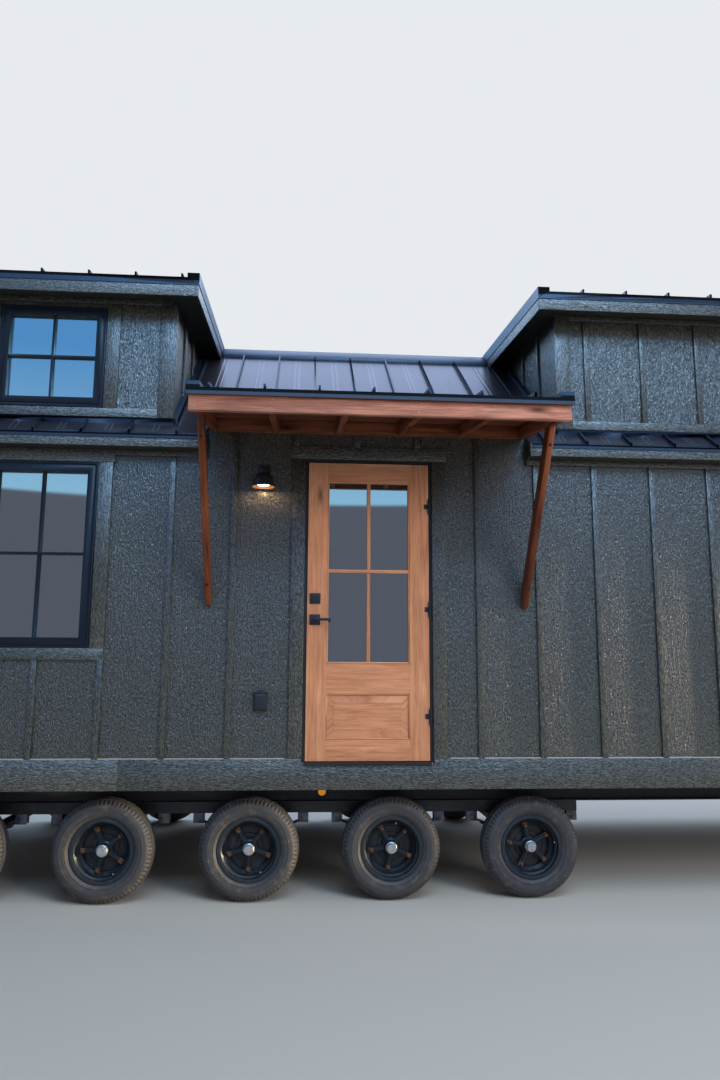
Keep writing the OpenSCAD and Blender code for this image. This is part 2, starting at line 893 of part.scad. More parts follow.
module roof_trims() {
    color(ROOF) {
        difference() {
            union() {
                slope_trims(true);
                on_back()
                    slope_trims(false);
            }
            both_sides()
                dormer_room();
        }
        both_sides()
            for (s = [-1, 1]) {
                x0 = s * dormer_mid - dormer_w / 2 - dormer_side + rake_cap_w;
                x1 = s * dormer_mid + dormer_w / 2 + dormer_side - rake_cap_w;
                translate([s * dormer_mid, 0, 0])
                    dormer_roof_trims();
                seams(x0, x1, dormer_y - drip_out, mid_y, dormer_top(0) + seat_gap, dormer_pitch);
            }
        awning_trims();
    }
}

// The room over the main roof that a front dormer and its roof take up
module dormer_room() {
    start = rake_end - 60;
    high = ridge_z + dormer_h;
    out = dormer_side + drip_out + seat_gap;
    both_ends() {
        along(dormer_in - out, dormer_out + out)
            polygon([[start, dormer_top(start) - dormer_t - fascia_drop], [rake_end, roof_top(rake_end)],
                [mid_y, ridge_z], [mid_y, high], [start, high]]);
        along(dormer_in, dormer_out)
            polygon([[dormer_set, roof_top(dormer_set)], [mid_y, roof_top(mid_y)], [mid_y, high],
                [dormer_set, high]]);
    }
}

module ridge_outline() {
    y0 = mid_y - ridge_w;
    y1 = mid_y + ridge_w;
    polygon([[mid_y, roof_seat(mid_y)], [y0, roof_seat(y0)], [y0, roof_top(y0) + seam_h],
        [mid_y, ridge_z + seam_h + ridge_t], [y1, roof_top(y0) + seam_h], [y1, roof_seat(y0)]]);
}

// The caps lie between the dormer roofs and out over the gables' rake boards
module ridge_cap() {
    inner = dormer_in - dormer_side - drip_out - seat_gap;
    outer = dormer_out + dormer_side + drip_out + seat_gap;
    color(ROOF) {
        along(-inner, inner)
            ridge_outline();
        both_ends()
            along(outer, half_len + gable_oh + drip_out)
                ridge_outline();
    }
}

// Dormers

// Calls its children at each dormer window; the front of the right-hand dormer has none
module at_dormer_windows() {
    translate([-dormer_mid, dormer_set, 0])
        children();
    on_back()
        for (s = [-1, 1])
            translate([s * dormer_mid, dormer_set, 0])
                children();
}

module dormer_walls() {
    y0 = dormer_set;
    y1 = dormer_set + wall_t;
    color(PAINT)
        difference() {
            both_sides()
                both_ends()
                    along(dormer_in, dormer_out)
                        polygon([[y0, roof_seat(y0)], [y1, roof_seat(y1)],
                            [y1, dormer_under(y1)], [y0, dormer_under(y0)]]);
            at_dormer_windows()
                window_hole(0, eave_z + loft_sill_h, loft_win_w, loft_win_h, -1, wall_t + 1);
        }
}

module dormer_cheeks() {
    y1 = dormer_set + wall_t;
    cheek_end = cross_y(roof_seat(0), roof_pitch, dormer_under(0), dormer_pitch);
    color(PAINT)
        both_sides()
            both_ends()
                for (x = [dormer_in, dormer_out - wall_t])
                    along(x, x + wall_t)
                        polygon([[y1, roof_seat(y1)], [cheek_end, roof_seat(cheek_end)],
                            [y1, dormer_under(y1)]]);
}

module dormer_roofs() {
    half = dormer_w / 2 + dormer_side - fascia_t - board_gap;
    y = dormer_y + fascia_t;
    color(ROOF)
        both_sides()
            both_ends()
                along(dormer_mid - half, dormer_mid + half)
                    polygon([[y, dormer_top(y) - dormer_t], [dormer_end, roof_seat(dormer_end)],
                        [mid_y, roof_seat(mid_y)], [mid_y, dormer_top(mid_y)], [y, dormer_top(y)]]);
}

// Boards

// Fascias under the eaves and rake boards up the gables and dormer sides
module fascias() {
    out_x = half_len + gable_oh;
    color(PAINT) {
        both_ends()
            eave_fascia(beam_half + board_gap, out_x);
        on_back()
            eave_fascia(-out_x, out_x);
        both_sides()
            both_ends() {
                gable_rake(out_x);
                dormer_fascia();
            }
    }
}

// The fascia along an eave from x0 to x1, its top cut to the roof's slope
module eave_fascia(x0, x1) {
    y0 = -eave_oh;
    y1 = fascia_t - eave_oh;
    along(x0, x1)
        polygon([[y0, eave_z], [y1, eave_z], [y1, roof_top(y1)], [y0, roof_top(y0)]]);
}

// The sloping board at a gable's overhang, level at its foot
module gable_rake(out_x) {
    y0 = fascia_t - eave_oh + board_gap;
    y1 = mid_y - board_gap;
    foot = (eave_z - roof_top(0) + roof_t) / roof_pitch;
    along(out_x - fascia_t, out_x)
        polygon([[y0, roof_top(y0)], [y0, eave_z], [foot, eave_z], [y1, roof_top(y1) - roof_t],
            [y1, roof_top(y1)]]);
}

// The fascia along a dormer's eave, and the board under each of its sloping edges
module dormer_fascia() {
    x0 = dormer_in - dormer_side;
    x1 = dormer_out + dormer_side;
    y0 = dormer_y + fascia_t;
    y1 = mid_y - board_gap;
    start = y0 + board_gap;
    low = dormer_top(dormer_y) - dormer_t - fascia_drop;
    block([x0, dormer_y, low], [x1, y0, dormer_top(dormer_y)]);
    for (x = [x0, x1 - fascia_t])
        along(x, x + fascia_t)
            polygon([[start, low], [rake_end, roof_seat(rake_end)], [y1, roof_seat(y1)],
                [y1, dormer_top(y1)], [start, dormer_top(start)]]);
}

// The skirt boards, butted at the corners and cut out under the door's sill
module skirt_boards() {
    z1 = rim_z + skirt_h;
    out_x = half_len + board_t;
    color(PAINT) {
        difference() {
            for (span = [[-out_x, skirt_joint - board_gap], [skirt_joint, out_x]])
                block([span[0], -board_t, rim_z], [span[1], 0, z1]);
            block([-open_x, -board_t - 1, floor_z - sill_drop], [open_x, 1, z1 + 1]);
        }
        on_back()
            block([-out_x, -board_t, rim_z], [out_x, 0, z1]);
        both_ends()
            block([half_len, board_gap, rim_z], [out_x, house_w - board_gap, z1]);
    }
}

// The room that the casing round the lower window centred at x takes up
module lower_window_room(x) {
    w = win_w + 2 * (hung_gap + casing_w);
    window_hole(x, sill_z - sill_board, w + board_gap, house_w, -board_t - 1, 1);
}

module front_battens(z1, gap_w, gap_z) {
    first = ceil((-half_len + casing_w - batten_x) / batten_pitch);
    last = floor((half_len - casing_w - batten_w - batten_x) / batten_pitch);
    for (i = [first : last]) {
        x = batten_x + i * batten_pitch;
        top = abs(x + batten_w / 2) < gap_w ? gap_z : z1;
        block([x, -batten_t, rim_z + skirt_h], [x + batten_w, 0, top]);
    }
}

module end_battens() {
    first = ceil((casing_w - mid_y) / batten_pitch);
    for (i = [first : -first]) {
        y = mid_y + i * batten_pitch;
        top = ridge_z - roof_t - roof_pitch * (abs(i) * batten_pitch + batten_w / 2);
        block([half_len, y - batten_w / 2, rim_z + skirt_h], [half_len + batten_t, y + batten_w / 2, top]);
    }
}

module dormer_battens() {
    y = dormer_set;
    z0 = base_z + base_board + board_gap;
    z1 = dormer_under(y - board_t) - frieze_h - board_gap;
    first = ceil((dormer_in + casing_w - batten_x) / batten_pitch);
    last = floor((dormer_out - casing_w - batten_w - batten_x) / batten_pitch);
    for (i = [first : last]) {
        x = batten_x + i * batten_pitch;
        block([x, y - batten_t, z0], [x + batten_w, y, z1]);
    }
}

module cheek_battens(x, s) {
    n = floor((dormer_end - dormer_set - casing_w) / batten_pitch);
    up = flashing_h + board_gap;
    for (i = [1 : n - 1]) {
        y = dormer_set + i * batten_pitch;
        along(min(x, x + s * batten_t), max(x, x + s * batten_t))
            polygon([[y, roof_top(y) + up], [y + batten_w, roof_top(y + batten_w) + up],
                [y + batten_w, dormer_under(y + batten_w)], [y, dormer_under(y)]]);
    }
}

module battens() {
    frieze_z = eave_z - frieze_h - board_gap;
    door_room = open_x - jamb_t + reveal + casing_w + board_gap;
    color(PAINT) {
        difference() {
            front_battens(frieze_z, beam_half, awning_under(-batten_t) - rafter_drop);
            lower_window_room(-win_x);
            block([-door_room - ear, -board_t - 1, 0], [door_room + ear, 1, open_z + casing_w]);
        }
        on_back()
            difference() {
                front_battens(frieze_z, 0, 0);
                lower_window_room(-win_x);
                lower_window_room(win_x);
            }
        both_ends()
            difference() {
                end_battens();
                translate([half_len, mid_y, 0])
                    rotate([0, 0, 90])
                        lower_window_room(0);
            }
        difference() {
            both_sides()
                both_ends()
                    dormer_battens();
            at_dormer_windows()
                window_hole(0, eave_z, dormer_w - 2 * casing_w, dormer_h, -casing_w, wall_t);
        }
        both_sides()
            both_ends() {
                cheek_battens(dormer_in, -1);
                cheek_battens(dormer_out, 1);
            }
    }
}

// Side casings and a head casing on the wall's face, round a hole of half width w
module casing(w, z0, z1, head_h) {
    for (s = [-1, 1])
        translate([s * (w + casing_w / 2), 0, 0])
            block([-casing_w / 2, -board_t, z0], [casing_w / 2, 0, z1]);
    block([-w - casing_w - ear, -board_t, z1 + board_gap], [w + casing_w + ear, 0, z1 + head_h]);
}

// Casing and sill board round a lower window, its head right under the eaves
module lower_casing() {
    z0 = sill_z;
    z1 = z0 + win_h + hung_gap / 2;
    w = win_w / 2 + hung_gap;
    casing(w, z0, z1, eave_z - z1);
    block([-w - casing_w, -board_t, z0 - sill_board], [w + casing_w, 0, z0 - board_gap]);
}

module trim_boards() {
    skirt_z = rim_z + skirt_h + board_gap;
    frieze_z = eave_z - frieze_h;
    head_end = win_w / 2 + hung_gap + casing_w + ear + board_gap;
    color(PAINT) {
        casing(open_x - jamb_t + reveal, skirt_z, open_z - jamb_t + reveal, casing_w);
        translate([-win_x, 0, 0])
            lower_casing();
        block([beam_half, -board_t, frieze_z], [half_len + board_t, 0, eave_z]);
        for (span = [[-half_len - board_t, -win_x - head_end], [head_end - win_x, -beam_half]])
            block([span[0], -board_t, frieze_z], [span[1], 0, eave_z]);
        on_back() {
            for (s = [-1, 1])
                translate([s * win_x, 0, 0])
                    lower_casing();
            for (span = [[-half_len - board_t, -win_x - head_end], [head_end - win_x, win_x - head_end],
                    [win_x + head_end, half_len + board_t]])
                block([span[0], -board_t, frieze_z], [span[1], 0, eave_z]);
        }
        both_ends()
            translate([half_len, mid_y, 0])
                rotate([0, 0, 90])
                    lower_casing();
        both_sides()
            both_ends() {
                block([half_len - casing_w, -board_t, skirt_z],
                    [half_len + board_t, 0, frieze_z - board_gap]);
                block([half_len, board_gap, skirt_z], [half_len + board_t, casing_w, eave_z]);
                dormer_trim();
            }
        at_dormer_windows()
            dormer_window_trim();
    }
}

// Corner boards, base board and frieze on a dormer's front
module dormer_trim() {
    y = dormer_set;
    z1 = dormer_under(y - board_t);
    x0 = dormer_in + casing_w + board_gap;
    x1 = dormer_out - casing_w - board_gap;
    block([dormer_in - board_t, y - board_t, base_z], [dormer_in + casing_w, y, z1]);
    block([dormer_out - casing_w, y - board_t, base_z], [dormer_out + board_t, y, z1]);
    block([x0, y - board_t, base_z], [x1, y, base_z + base_board]);
    block([x0, y - board_t, z1 - frieze_h], [x1, y, z1]);
}

// The two upright boards beside a dormer window
module dormer_window_trim() {
    z0 = base_z + base_board + board_gap;
    z1 = dormer_under(dormer_set - board_t) - frieze_h - board_gap;
    w = loft_win_w / 2 + hung_gap;
    for (s = [-1, 1])
        translate([s * (w + casing_w / 2), 0, 0])
            block([-casing_w / 2, -board_t, z0], [casing_w / 2, 0, z1]);
}

// Windows

// A window of two by two panes: its frame, with the bars, seen from outside at y
module window_frame(x, z, w, h, y) {
    y0 = y - frame_out;
    sash = frame_w / 3;
    difference() {
        block([x - w / 2, y0, z], [x + w / 2, y0 + frame_d, z + h]);
        block([x - w / 2 + frame_w, y0 - 1, z + frame_w],
            [x + w / 2 - frame_w, y0 + frame_d + 1, z + h - frame_w]);
        difference() {
            block([x - w / 2 + sash / 2, y0 - 1, z + sash / 2],
                [x + w / 2 - sash / 2, y0 + 6, z + h - sash / 2]);
            block([x - w / 2 + sash, y0 - 2, z + sash], [x + w / 2 - sash, y0 + 7, z + h - sash]);
        }
    }
    bar_y = y + pane_in - bar_d;
    block([x - bar_w / 2, bar_y, z + frame_w - 1],
        [x + bar_w / 2, bar_y + bar_d - seat_gap, z + h - frame_w + 1]);
    block([x - w / 2 + frame_w - 1, bar_y, z + (h - bar_w) / 2],
        [x + w / 2 - frame_w + 1, bar_y + bar_d - seat_gap, z + (h + bar_w) / 2]);
}

module window_pane(x, z, w, h, y) {
    y0 = y + pane_in;
    block([x - w / 2 + frame_w, y0, z + frame_w], [x + w / 2 - frame_w, y0 + glass_t, z + h - frame_w]);
}

// Calls its children turned to the right-hand end wall
module on_end() {
    translate([half_len, mid_y, 0])
        rotate([0, 0, 90])
            children();
}

module window_frames() {
    z = sill_z;
    color(BLACK) {
        window_frame(-win_x, z, win_w, win_h, 0);
        on_back()
            for (s = [-1, 1])
                window_frame(s * win_x, z, win_w, win_h, 0);
        both_ends()
            on_end()
                window_frame(0, z, win_w, win_h, 0);
        at_dormer_windows()
            window_frame(0, eave_z + loft_sill_h, loft_win_w, loft_win_h, 0);
    }
}

module window_glass() {
    z = sill_z;
    color([0.5, 0.6, 0.65, 0.5]) {
        window_pane(-win_x, z, win_w, win_h, 0);
        on_back()
            for (s = [-1, 1])
                window_pane(s * win_x, z, win_w, win_h, 0);
        both_ends()
            on_end()
                window_pane(0, z, win_w, win_h, 0);
        at_dormer_windows()
            window_pane(0, eave_z + loft_sill_h, loft_win_w, loft_win_h, 0);
    }
}

// Door

module door_frame() {
    color(BLACK) {
        difference() {
            block([-open_x, 0, floor_z], [open_x, wall_t, open_z]);
            block([-open_x + jamb_t, -1, floor_z - 1], [open_x - jamb_t, stop_y, open_z - jamb_t]);
            block([-open_x + jamb_t + stop_w, -1, floor_z - 1],
                [open_x - jamb_t - stop_w, wall_t + 1, open_z - jamb_t - stop_w]);
        }
        block([-open_x + jamb_t, -board_t - 12, floor_z - sill_drop], [open_x - jamb_t, 0, floor_z + 3]);
        for (z = hinge_zs) {
            translate([pin_x, pin_y, z - hinge_h / 2])
                cylinder(h = hinge_h, r = pin_r);
            for (s = [-1, 1]) {
                z0 = z + s * hinge_h / 3 - hinge_h / 6;
                translate([pin_x, pin_y, z0])
                    cylinder(h = hinge_h / 3, r = pin_r + 4);
                block([pin_x, pin_y, z0], [pin_x + 5, 1, z0 + hinge_h / 3]);
            }
        }
    }
}

module door_leaf() {
    x1 = door_w / 2;
    panel_z0 = leaf_z0 + bottom_rail;
    bar_y0 = 6;
    color(DOOR) {
        difference() {
            block([-x1, 0, leaf_z0], [x1, door_t, leaf_z1]);
            block([-x1 + stile_w, -1, light_z0], [x1 - stile_w, door_t + 1, light_z1]);
            for (y = [-1, door_t - panel_groove])
                difference() {
                    block([-x1 + stile_w, y, panel_z0],
                        [x1 - stile_w, y + panel_groove + 1, panel_z0 + panel_h]);
                    block([-x1 + stile_w + 50, y - 1, panel_z0 + 50],
                        [x1 - stile_w - 50, y + panel_groove + 2, panel_z0 + panel_h - 50]);
                }
        }
        for (y = [bar_y0, door_t - bar_y0 - 10]) {
            block([-door_bar_w / 2, y, light_z0 - 1], [door_bar_w / 2, y + 10, light_z1 + 1]);
            block([-x1 + stile_w - 1, y, light_mid - door_bar_w / 2],
                [x1 - stile_w + 1, y + 10, light_mid + door_bar_w / 2]);
        }
    }
}

module door_glass() {
    x1 = door_w / 2 - stile_w;
    color([0.5, 0.6, 0.65, 0.5])
        block([-x1, door_t / 2 - 4, light_z0], [x1, door_t / 2 + 4, light_z1]);
}

module door_lock() {
    color(BLACK) {
        difference() {
            block([lever_x - rose_w / 2, -8, lever_z - rose_w / 2],
                [lever_x + rose_w / 2, 0, lever_z + rose_w / 2]);
            translate([lever_x, 1, lever_z])
                rotate([90, 0, 0])
                    cylinder(h = 20, r = 9 + bore_play);
        }
        block([lever_x - rose_w / 2, -10, lever_z + lock_pitch - rose_w / 2],
            [lever_x + rose_w / 2, 0, lever_z + lock_pitch + rose_w / 2]);
        translate([lever_x, 0, lever_z + lock_pitch])
            rotate([90, 0, 0])
                cylinder(h = 16, r = 17);
    }
}

module door_hinges() {
    color(BLACK)
        for (z = hinge_zs)
            difference() {
                union() {
                    translate([pin_x, pin_y, z - hinge_h / 6 + 0.5])
                        cylinder(h = hinge_h / 3 - 1, r = pin_r + 4);
                    block([door_w / 2 - 30, -3, z - hinge_h / 6 + 0.5], [pin_x, 0, z + hinge_h / 6 - 0.5]);
                }
                translate([pin_x, pin_y, z - hinge_h])
                    cylinder(h = 2 * hinge_h, r = pin_r + bore_play);
            }
}

module door_lever() {
    color(BLACK) {
        translate([lever_x, -0.3, lever_z])
            rotate([90, 0, 0])
                cylinder(h = 54, r = 9);
        block([lever_x - 9, -56, lever_z - 9], [lever_x + lever_len, -46, lever_z + 9]);
    }
}

// Awning

module awning_outline(gap) {
    end = awning_end - gap;
    polygon([[awning_lo, awning_under(awning_lo) + gap], [end, awning_under(end) + gap],
        [end, awning_under(end) + awning_t], [awning_lo, awning_under(awning_lo) + awning_t]]);
}

// Outline of the awning's ends, which lie on the main roof where they meet it
module awning_wing_outline() {
    meet = cross_y(roof_seat(0), roof_pitch, awning_u0 + seat_gap, awning_pitch);
    top_meet = cross_y(roof_seat(0), roof_pitch, awning_u0 + awning_t, awning_pitch);
    polygon([[awning_lo, awning_under(awning_lo) + seat_gap], [meet, roof_seat(meet)],
        [top_meet, roof_seat(top_meet)], [awning_lo, awning_under(awning_lo) + awning_t]]);
}

// Outline of a rafter between ya and yb
module rafter_outline(ya, yb) {
    polygon([[ya, awning_under(ya) - rafter_drop], [yb, awning_under(yb) - rafter_drop],
        [yb, awning_under(yb)], [ya, awning_under(ya)]]);
}

module awning_rafters() {
    end_x = awning_w / 2 - lumber_t / 2;
    step = 2 * end_x / (rafters - 1);
    color(STAIN) {
        for (i = [0 : rafters - 1]) {
            x = -end_x + i * step;
            at_end = i == 0 || i == rafters - 1;
            along(x - lumber_t / 2, x + lumber_t / 2)
                rafter_outline(board_gap - awning_out, at_end ? 0 : -lumber_t - board_gap);
        }
        along(-awning_w / 2 + lumber_t + board_gap, awning_w / 2 - lumber_t - board_gap)
            rafter_outline(-lumber_t, 0);
    }
}

module awning_beam() {
    y = -awning_out;
    z = awning_under(y - lumber_t) - lumber_h;
    color(STAIN)
        along(-beam_half, beam_half)
            polygon([[y - lumber_t, z], [y, z], [y, awning_under(y)],
                [y - lumber_t, awning_under(y - lumber_t)]]);
}

// Outline of a brace, from its level foot at the wall to the underside of the end rafter
module brace_outline() {
    foot_z = floor_z + brace_z;
    top_z = awning_under(-brace_out) - rafter_drop - seat_gap;
    rise = (top_z - foot_z) / (brace_out - brace_toe);
    turn = atan(rise);
    up = lumber_h / cos(turn);
    // The upper face is up above the lower one, and meets the rafter nearer to the wall
    far = (awning_u0 - rafter_drop - seat_gap - foot_z - rise * -brace_toe - up) / (rise + awning_pitch);
    polygon([[0, foot_z], [-brace_toe, foot_z], [-brace_out, top_z],
        [-far, awning_under(-far) - rafter_drop - seat_gap], [0, foot_z - rise * brace_toe + up]]);
}

module awning_braces() {
    x = awning_w / 2 - lumber_t / 2;
    color(STAIN)
        both_ends()
            along(x - lumber_t / 2, x + lumber_t / 2)
                brace_outline();
}

module awning_roof() {
    color(ROOF) {
        along(-beam_half - metal_over, beam_half + metal_over)
            awning_wing_outline();
        along(-beam_half, beam_half)
            awning_outline(seat_gap);
    }
}

// Fittings

module wall_lamp() {
    z = eave_z - lamp_drop;
    y = -lamp_r - lamp_out;
    shade_h = 96;
    shade_t = 5;
    neck_r = 32;
    neck_h = 40;
    arm_w = 16;
    plate_w = 76;
    plate_h = 92;
    neck_z = z + shade_h - shade_t;
    arm_z = neck_z + neck_h - arm_w;
    plate_z = arm_z + arm_w / 2 - plate_h / 2;
    color(BLACK)
        translate([lamp_x, 0, 0]) {
            translate([0, y, z])
                rotate_extrude()
                    polygon([[lamp_r - shade_t, 0], [lamp_r, 0], [lamp_r, shade_h / 6],
                        [lamp_r * 0.82, shade_h * 0.6], [lamp_r * 0.46, shade_h - shade_t], [0, shade_h],
                        [0, shade_h - shade_t], [lamp_r * 0.4, shade_h - 2 * shade_t],
                        [lamp_r * 0.75, shade_h * 0.57], [lamp_r - shade_t, shade_h / 7]]);
            translate([0, y, neck_z])
                cylinder(h = neck_h, r = neck_r);
            block([-arm_w / 2, y, arm_z], [arm_w / 2, 0, arm_z + arm_w]);
            block([-plate_w / 2, -batten_t, plate_z], [plate_w / 2, 0, plate_z + plate_h]);
        }
}

module outlet_cover() {
    z = floor_z + outlet_h;
    color(BLACK)
        block([outlet_x - 44, -45, z - 60], [outlet_x + 44, 0, z + 60]);
}

module side_markers() {
    color("#ff9a1f")
        both_sides()
            translate([marker_x, beam_y - steel_t / 2, beam_z + marker_h])
                rotate([90, 0, 0]) {
                    cylinder(h = 10, r = marker_r + 12);
                    cylinder(h = 18, r = marker_r);
                }
}

// Wheels

// Outline of the tyre's section, as [radius, width], with its beads between the rim's flanges
module tyre_outline() {
    mid_r = (tyre_d / 2 + bead_r) / 2;
    half_h = (tyre_d / 2 - bead_r) / 2;
    power = 2 / 2.6;
    bead_w = rim_half_w - rim_t - bead_gap;
    reach = 135;
    polygon(concat(
        [for (a = [-reach : 15 : reach])
            [mid_r + half_h * sign(cos(a)) * pow(abs(cos(a)), power),
                tyre_w / 2 * sign(sin(a)) * pow(abs(sin(a)), power)]],
        [[bead_r + bead_gap, bead_w], [bead_r + bead_gap, -bead_w]]));
}

// The tyre round Z, its outer side towards negative Z, with the grooves of its tread
module tyre_shape() {
    rotate_extrude($fn = 180)
        difference() {
            tyre_outline();
            for (y = [-1.5 : 1.5])
                translate([tyre_d / 2 - groove_d, y * tyre_w / 5 - groove_w / 2])
                    square([groove_d + 1, groove_w]);
        }
}

// Outline of the demountable rim, as [radius, width]
module rim_outline() {
    t = rim_t;
    w = rim_half_w;
    lip_z = 14;
    polygon([[flange_r, -w], [flange_r, -w + t], [bead_r, -w + t], [bead_r, -w + 24],
        [bead_r - 14, -w + 34], [bead_r - 16, w - 34], [bead_r, w - 24], [bead_r, w - t],
        [flange_r, w - t], [flange_r, w], [bead_r - 6, w], [bead_r - 6, w - 22], [bead_r - 22, w - 34],
        [bead_r - 22, lip_z + t], [lip_r, lip_z + t], [lip_r, lip_z - t], [bead_r - 24, -6],
        [bead_r - 20, -w + 34], [bead_r - 6, -w + 22], [bead_r - 6, -w]]);
}

// A spoke towards positive x, with its clamp and nut
module spoke() {
    linear_extrude(height = 34)
        polygon([[hub_r - 6, -26], [lip_r + 3, -17], [lip_r + 3, 17], [hub_r - 6, 26]]);
    translate([0, 0, -14])
        linear_extrude(height = 20)
            polygon([[hub_r - 6, -6], [clamp_r - 10, -5], [clamp_r - 10, 5], [hub_r - 6, 6]]);
    translate([0, 0, -8])
        linear_extrude(height = 12)
            polygon([[clamp_r - 13, -14], [lip_r + 8, -17], [lip_r + 8, 17], [clamp_r - 13, 14]]);
    translate([clamp_r, 0, -24])
        cylinder(h = 20, r = 11, $fn = 6);
}

// The rim, hub and drum round Z, the outer side towards negative Z
module wheel_shape() {
    drum_r = lip_r + 12;
    drum_z = 34;
    cap_z = -tyre_w / 2 + 12;
    back_z = tyre_w / 2 - 5;
    difference() {
        union() {
            rotate_extrude($fn = 180)
                rim_outline();
            for (i = [0 : spokes - 1])
                rotate([0, 0, i * 360 / spokes])
                    spoke();
            translate([0, 0, cap_z + 22])
                cylinder(h = back_z - cap_z - 22, r = hub_r);
            translate([0, 0, cap_z])
                cylinder(h = 30, r = cap_r);
            translate([0, 0, drum_z - 1])
                cylinder(h = back_z - drum_z + 1, r = drum_r);
        }
        translate([0, 0, cap_z + 18])
            cylinder(h = tyre_w, r = spindle_r + bore_play);
    }
}

// Puts its children at wheel i of a side, on its axle and turned on it
module at_wheel(i, back) {
    x = axle_x + (i - (axles_n - 1) / 2) * axle_pitch;
    translate([x, back ? house_w - wheel_y : wheel_y, axle_z])
        rotate([back ? 90 : -90, 0, 0])
            rotate([0, 0, wheel_turns[back ? axles_n - 1 - i : i]])
                children();
}

module tyre(i, back) {
    if (i < axles_n)
        color(RUBBER)
            at_wheel(i, back)
                tyre_shape();
}

module wheel(i, back) {
    if (i < axles_n)
        color(BLACK)
            at_wheel(i, back)
                wheel_shape();
}

// Puts the house on the part's own origin
module placed() {
    translate([-(x_lo + x_hi) / 2, -(y_lo + y_hi) / 2, 0])
        children();
}

placed() main_beams();
placed() floor_frame();
placed() drawbar();
placed() axles();
placed() leaf_springs();
placed() spring_hangers();
placed() floor_deck();
placed() loft_floors();
placed() front_wall_left();
placed() front_wall_right();
placed() front_wall_head();
placed() back_wall();
placed() end_walls();
placed() front_roof();
placed() back_roof();
placed() ridge_cap();
placed() roof_trims();
placed() dormer_walls();
placed() dormer_cheeks();
placed() dormer_roofs();
placed() fascias();
placed() skirt_boards();
placed() battens();
placed() trim_boards();
placed() window_frames();
placed() window_glass();
placed() door_frame();
placed() awning_rafters();
placed() awning_beam();
placed() awning_braces();
placed() awning_roof();
placed() wall_lamp();
placed() outlet_cover();
placed() side_markers();
placed() door_leaf();
placed() door_glass();
placed() door_lock();
placed() door_hinges();
placed() door_lever();
placed() tyre(0, false);  // tyre_f1
placed() tyre(1, false);  // tyre_f2
placed() tyre(2, false);  // tyre_f3
placed() tyre(3, false);  // tyre_f4
placed() tyre(4, false);  // tyre_f5
placed() tyre(0, true);  // tyre_b1
placed() tyre(1, true);  // tyre_b2
placed() tyre(2, true);  // tyre_b3
placed() tyre(3, true);  // tyre_b4
placed() tyre(4, true);  // tyre_b5
placed() wheel(0, false);  // wheel_f1
placed() wheel(1, false);  // wheel_f2
placed() wheel(2, false);  // wheel_f3
placed() wheel(3, false);  // wheel_f4
placed() wheel(4, false);  // wheel_f5
placed() wheel(0, true);  // wheel_b1
placed() wheel(1, true);  // wheel_b2
placed() wheel(2, true);  // wheel_b3
placed() wheel(3, true);  // wheel_b4
placed() wheel(4, true);  // wheel_b5
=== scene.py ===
import random
from math import ceil, cos, floor, pi, radians, sin

import bmesh
import bpy
from mathutils import Matrix, Vector


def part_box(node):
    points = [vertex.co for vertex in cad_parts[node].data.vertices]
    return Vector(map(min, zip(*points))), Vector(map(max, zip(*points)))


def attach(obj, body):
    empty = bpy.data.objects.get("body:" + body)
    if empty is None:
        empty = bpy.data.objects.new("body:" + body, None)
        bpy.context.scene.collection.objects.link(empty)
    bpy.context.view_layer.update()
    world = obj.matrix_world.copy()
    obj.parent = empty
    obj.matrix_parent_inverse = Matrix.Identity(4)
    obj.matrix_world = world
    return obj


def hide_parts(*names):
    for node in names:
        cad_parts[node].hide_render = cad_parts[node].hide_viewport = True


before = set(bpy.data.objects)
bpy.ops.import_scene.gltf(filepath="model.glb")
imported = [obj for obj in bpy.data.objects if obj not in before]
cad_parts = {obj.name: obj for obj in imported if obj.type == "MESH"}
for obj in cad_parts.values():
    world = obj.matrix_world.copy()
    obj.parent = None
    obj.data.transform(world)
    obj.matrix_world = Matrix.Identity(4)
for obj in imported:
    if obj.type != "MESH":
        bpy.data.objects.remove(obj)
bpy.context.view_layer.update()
scene = bpy.context.scene
scene.view_settings.view_transform = "Standard"

# The house's own origin: the middle of the door, the front wall's face, the ground

leaf_lo, leaf_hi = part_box("door_leaf")
HOUSE = Vector(((leaf_lo.x + leaf_hi.x) / 2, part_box("front_wall_left")[0].y, 0))


def house_box(node):
    """Lowest and highest corners of a CAD node, from the house's origin."""
    lo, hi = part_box(node)
    return lo - HOUSE, hi - HOUSE


def middle_of(node):
    """Middle of a CAD node's box, from the house's origin."""
    lo, hi = house_box(node)
    return (lo + hi) / 2


# Sizes of the house, in metres from that origin

MID_Y = house_box("back_wall")[1].y / 2
HALF_LEN = house_box("end_walls")[1].x
FLOOR_Z = house_box("floor_deck")[1].z
ROOM_X = 4.80
ROOM_Y = 1.38
SEAM_PITCH = 0.3048
SEAM_X = -0.051
DORMER_MID = 2.144
DORMER_ROOM = 0.75
BATTEN_PITCH = 0.4064
BATTEN_X = -0.098
BATTEN_W = 0.038
BOARD_H = 0.14

# Colours of the finishes

